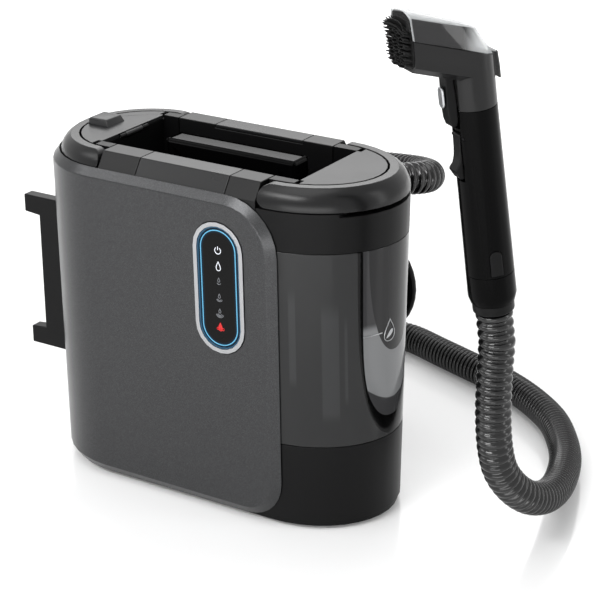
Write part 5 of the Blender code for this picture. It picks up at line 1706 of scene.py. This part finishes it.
@dataclass
class Studio:
    """The pale floor, the light and the camera. The softboxes' azimuths start from the camera's."""

    body: Body
    azimuth: float = 32.6995
    elevation: float = 22.2373
    roll: float = -0.4493
    distance: float = 1.796
    aim_x: float = 0.0796
    aim_z: float = 0.1860
    lens: float = 119.81
    sensor: float = 36
    view_end: float = 50
    light_aim: Point = (0.03, 0, 0.18)
    surround: float = 1.0
    surround_light: float = 0.55
    floor_half: float = 4.0
    floor_colour: Point = (0.93, 0.93, 0.93)
    floor_roughness: float = 0.16
    floor_specular: float = 0.5
    floor_lift: float = 0.10
    floor_far_lift: float = 0.70
    floor_near: float = 0.6
    floor_far: float = 1.8
    softboxes: tuple[Softbox, ...] = (
        Softbox("back_softbox", 180, 36, 1.7, (1.6, 0.8), 12),
        Softbox("top_softbox", -40, 74, 1.6, (1.0, 1.0), 7),
        Softbox("left_softbox", -88, 36, 1.8, (0.6, 0.45), 3),
        Softbox("front_softbox", -42, 42, 1.8, (0.9, 0.35), 13),
        Softbox("low_softbox", -15, 4, 1.4, (1.4, 0.3), 6),
        Softbox("right_softbox", 75, 20, 1.8, (0.35, 1.4), 4),
    )

    def direction(self, azimuth: float, elevation: float) -> Vector:
        """The way to a place round the object, in degrees from the display side and above the floor."""
        a, e = math.radians(azimuth), math.radians(elevation)
        return Vector((math.sin(a) * math.cos(e), -math.cos(a) * math.cos(e), math.sin(e)))

    def camera(self) -> None:
        """Sets the camera at the photograph's viewing angle."""
        target = self.body.world(self.aim_x, 0, self.aim_z)
        back = self.direction(self.azimuth, self.elevation)
        right = Vector((0, 0, 1)).cross(back).normalized()
        up = back.cross(right)
        turn = math.radians(self.roll)
        across = right * math.cos(turn) + up * math.sin(turn)
        above = back.cross(across)
        data = bpy.data.cameras.new("photo_camera")
        data.lens = self.lens
        data.sensor_width = self.sensor
        data.sensor_fit = "HORIZONTAL"
        data.clip_end = self.view_end
        camera = bpy.data.objects.new("photo_camera", data)
        axes = Matrix((across, above, back)).transposed().to_4x4()
        camera.matrix_world = Matrix.Translation(target + back * self.distance) @ axes
        bpy.context.scene.collection.objects.link(camera)
        bpy.context.scene.camera = camera

    def light(self, box: Softbox) -> None:
        """Sets up one softbox, turned to the object.

        Args:
            box: The softbox.
        """
        target = self.body.world(*self.light_aim)
        back = self.direction(self.azimuth + box.azimuth, box.elevation)
        data = bpy.data.lights.new(box.name, "AREA")
        data.shape = "RECTANGLE"
        data.size, data.size_y = box.size
        data.energy = box.power
        lamp = bpy.data.objects.new(box.name, data)
        turn = back.to_track_quat("Z", "Y").to_matrix().to_4x4()
        lamp.matrix_world = Matrix.Translation(target + back * box.distance) @ turn
        lamp.visible_camera = False
        bpy.context.scene.collection.objects.link(lamp)

    def seen_rays(self, wiring: Wiring) -> Wire:
        """One for a ray that the camera, gloss or glass sees, and zero for one that lights.

        Args:
            wiring: The material's or the world's tree.

        Returns:
            The result's wire.
        """
        rays = wiring.add("ShaderNodeLightPath").outputs
        direct = wiring.math("MAXIMUM", rays["Is Camera Ray"], rays["Is Transmission Ray"])
        return wiring.math("MAXIMUM", direct, rays["Is Glossy Ray"])

    def world(self) -> None:
        """A white surround for the camera and for what is seen in gloss, and a dimmer one as light."""
        world = bpy.data.worlds.new("studio")
        bpy.context.scene.world = world
        world.use_nodes = True
        world.node_tree.nodes.clear()
        wiring = Wiring(world.node_tree)
        dim, white = (
            wiring.add("ShaderNodeBackground", {"Color": (1, 1, 1, 1), "Strength": strength}).outputs[0]
            for strength in (self.surround_light, self.surround)
        )
        mix = wiring.add("ShaderNodeMixShader", {0: self.seen_rays(wiring), 1: dim, 2: white})
        wiring.add("ShaderNodeOutputWorld", {"Surface": mix.outputs[0]})

    def floor(self) -> None:
        """A white floor that keeps a soft shadow and a faint reflection. It gets whiter further out."""
        half = self.floor_half
        corners = [(-half, -half, 0), (half, -half, 0), (half, half, 0), (-half, half, 0)]
        mesh = bpy.data.meshes.new("studio_floor")
        mesh.from_pydata(corners, [], [(0, 1, 2, 3)])
        floor = bpy.data.objects.new("studio_floor", mesh)
        bpy.context.scene.collection.objects.link(floor)
        material, wiring, shader = new_material("white_floor")
        surface = {
            "Base Color": opaque(self.floor_colour),
            "Roughness": self.floor_roughness,
            "Specular IOR Level": self.floor_specular,
        }
        wiring.fill(shader, surface)
        away = wiring.add("ShaderNodeVectorMath", {0: wiring.place()}, operation="LENGTH").outputs["Value"]
        lift = wiring.step(away, self.floor_near, self.floor_far, self.floor_lift, self.floor_far_lift)
        glow = wiring.add("ShaderNodeEmission", {"Strength": wiring.times(self.seen_rays(wiring), lift)})
        both = wiring.add("ShaderNodeAddShader", {0: shader.outputs[0], 1: glow.outputs[0]})
        wiring.fill(material.node_tree.nodes["Material Output"], {"Surface": both.outputs[0]})
        mesh.materials.append(material)

    def make(self) -> None:
        """Makes the studio."""
        self.camera()
        self.world()
        self.floor()
        for box in self.softboxes:
            self.light(box)
        bpy.context.scene.view_settings.view_transform = "Standard"


def build_materials(body: Body) -> dict[Look, bpy.types.Material]:
    """Makes every finish.

    Args:
        body: The body's place, which some patterns follow.

    Returns:
        The materials by their look.
    """
    effects = SurfaceEffects()
    low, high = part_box("display_glass")
    centre, half = (tuple((high[axis] + sign * low[axis]) / 2 for axis in (0, 2)) for sign in (1, -1))
    surfaces = {
        **{finish.look: finish for finish in FINISHES},
        Look.SMOKE: SmokedPlastic(body.shift.y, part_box("clean_tank")[1][2]),
        Look.CLEAR: ClearPlastic(body.head_frame()),
        Look.DISPLAY: DisplayGlass(centre, half),
        Look.GLOW: Lamp((0.006, 0.060, 0.120)),
        Look.BOARD: CircuitBoard(),
    }
    return {look: surface.build(look.label, effects) for look, surface in surfaces.items()}


def main() -> None:
    """Dresses the whole cleaner and sets the studio."""
    logging.basicConfig(level=logging.INFO, format="%(name)s: %(message)s")
    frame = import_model()
    body = Body()
    body.find()
    Studio(body).make()
    workshop = Workshop(frame, body, build_materials(body))
    repeater = Repeater(workshop)
    Hose(workshop).make()
    Casing(workshop, repeater).make()
    Display(workshop, repeater).make()
    Tank(workshop, "clean_tank", "fill_lid").make()
    Tank(workshop, "waste_tank", "waste_lid", tabbed=True).make()
    TankMarks(workshop, repeater).make()
    Fittings(workshop).make()
    Handset(workshop, repeater).make()


if __name__ == "__main__":
    main()
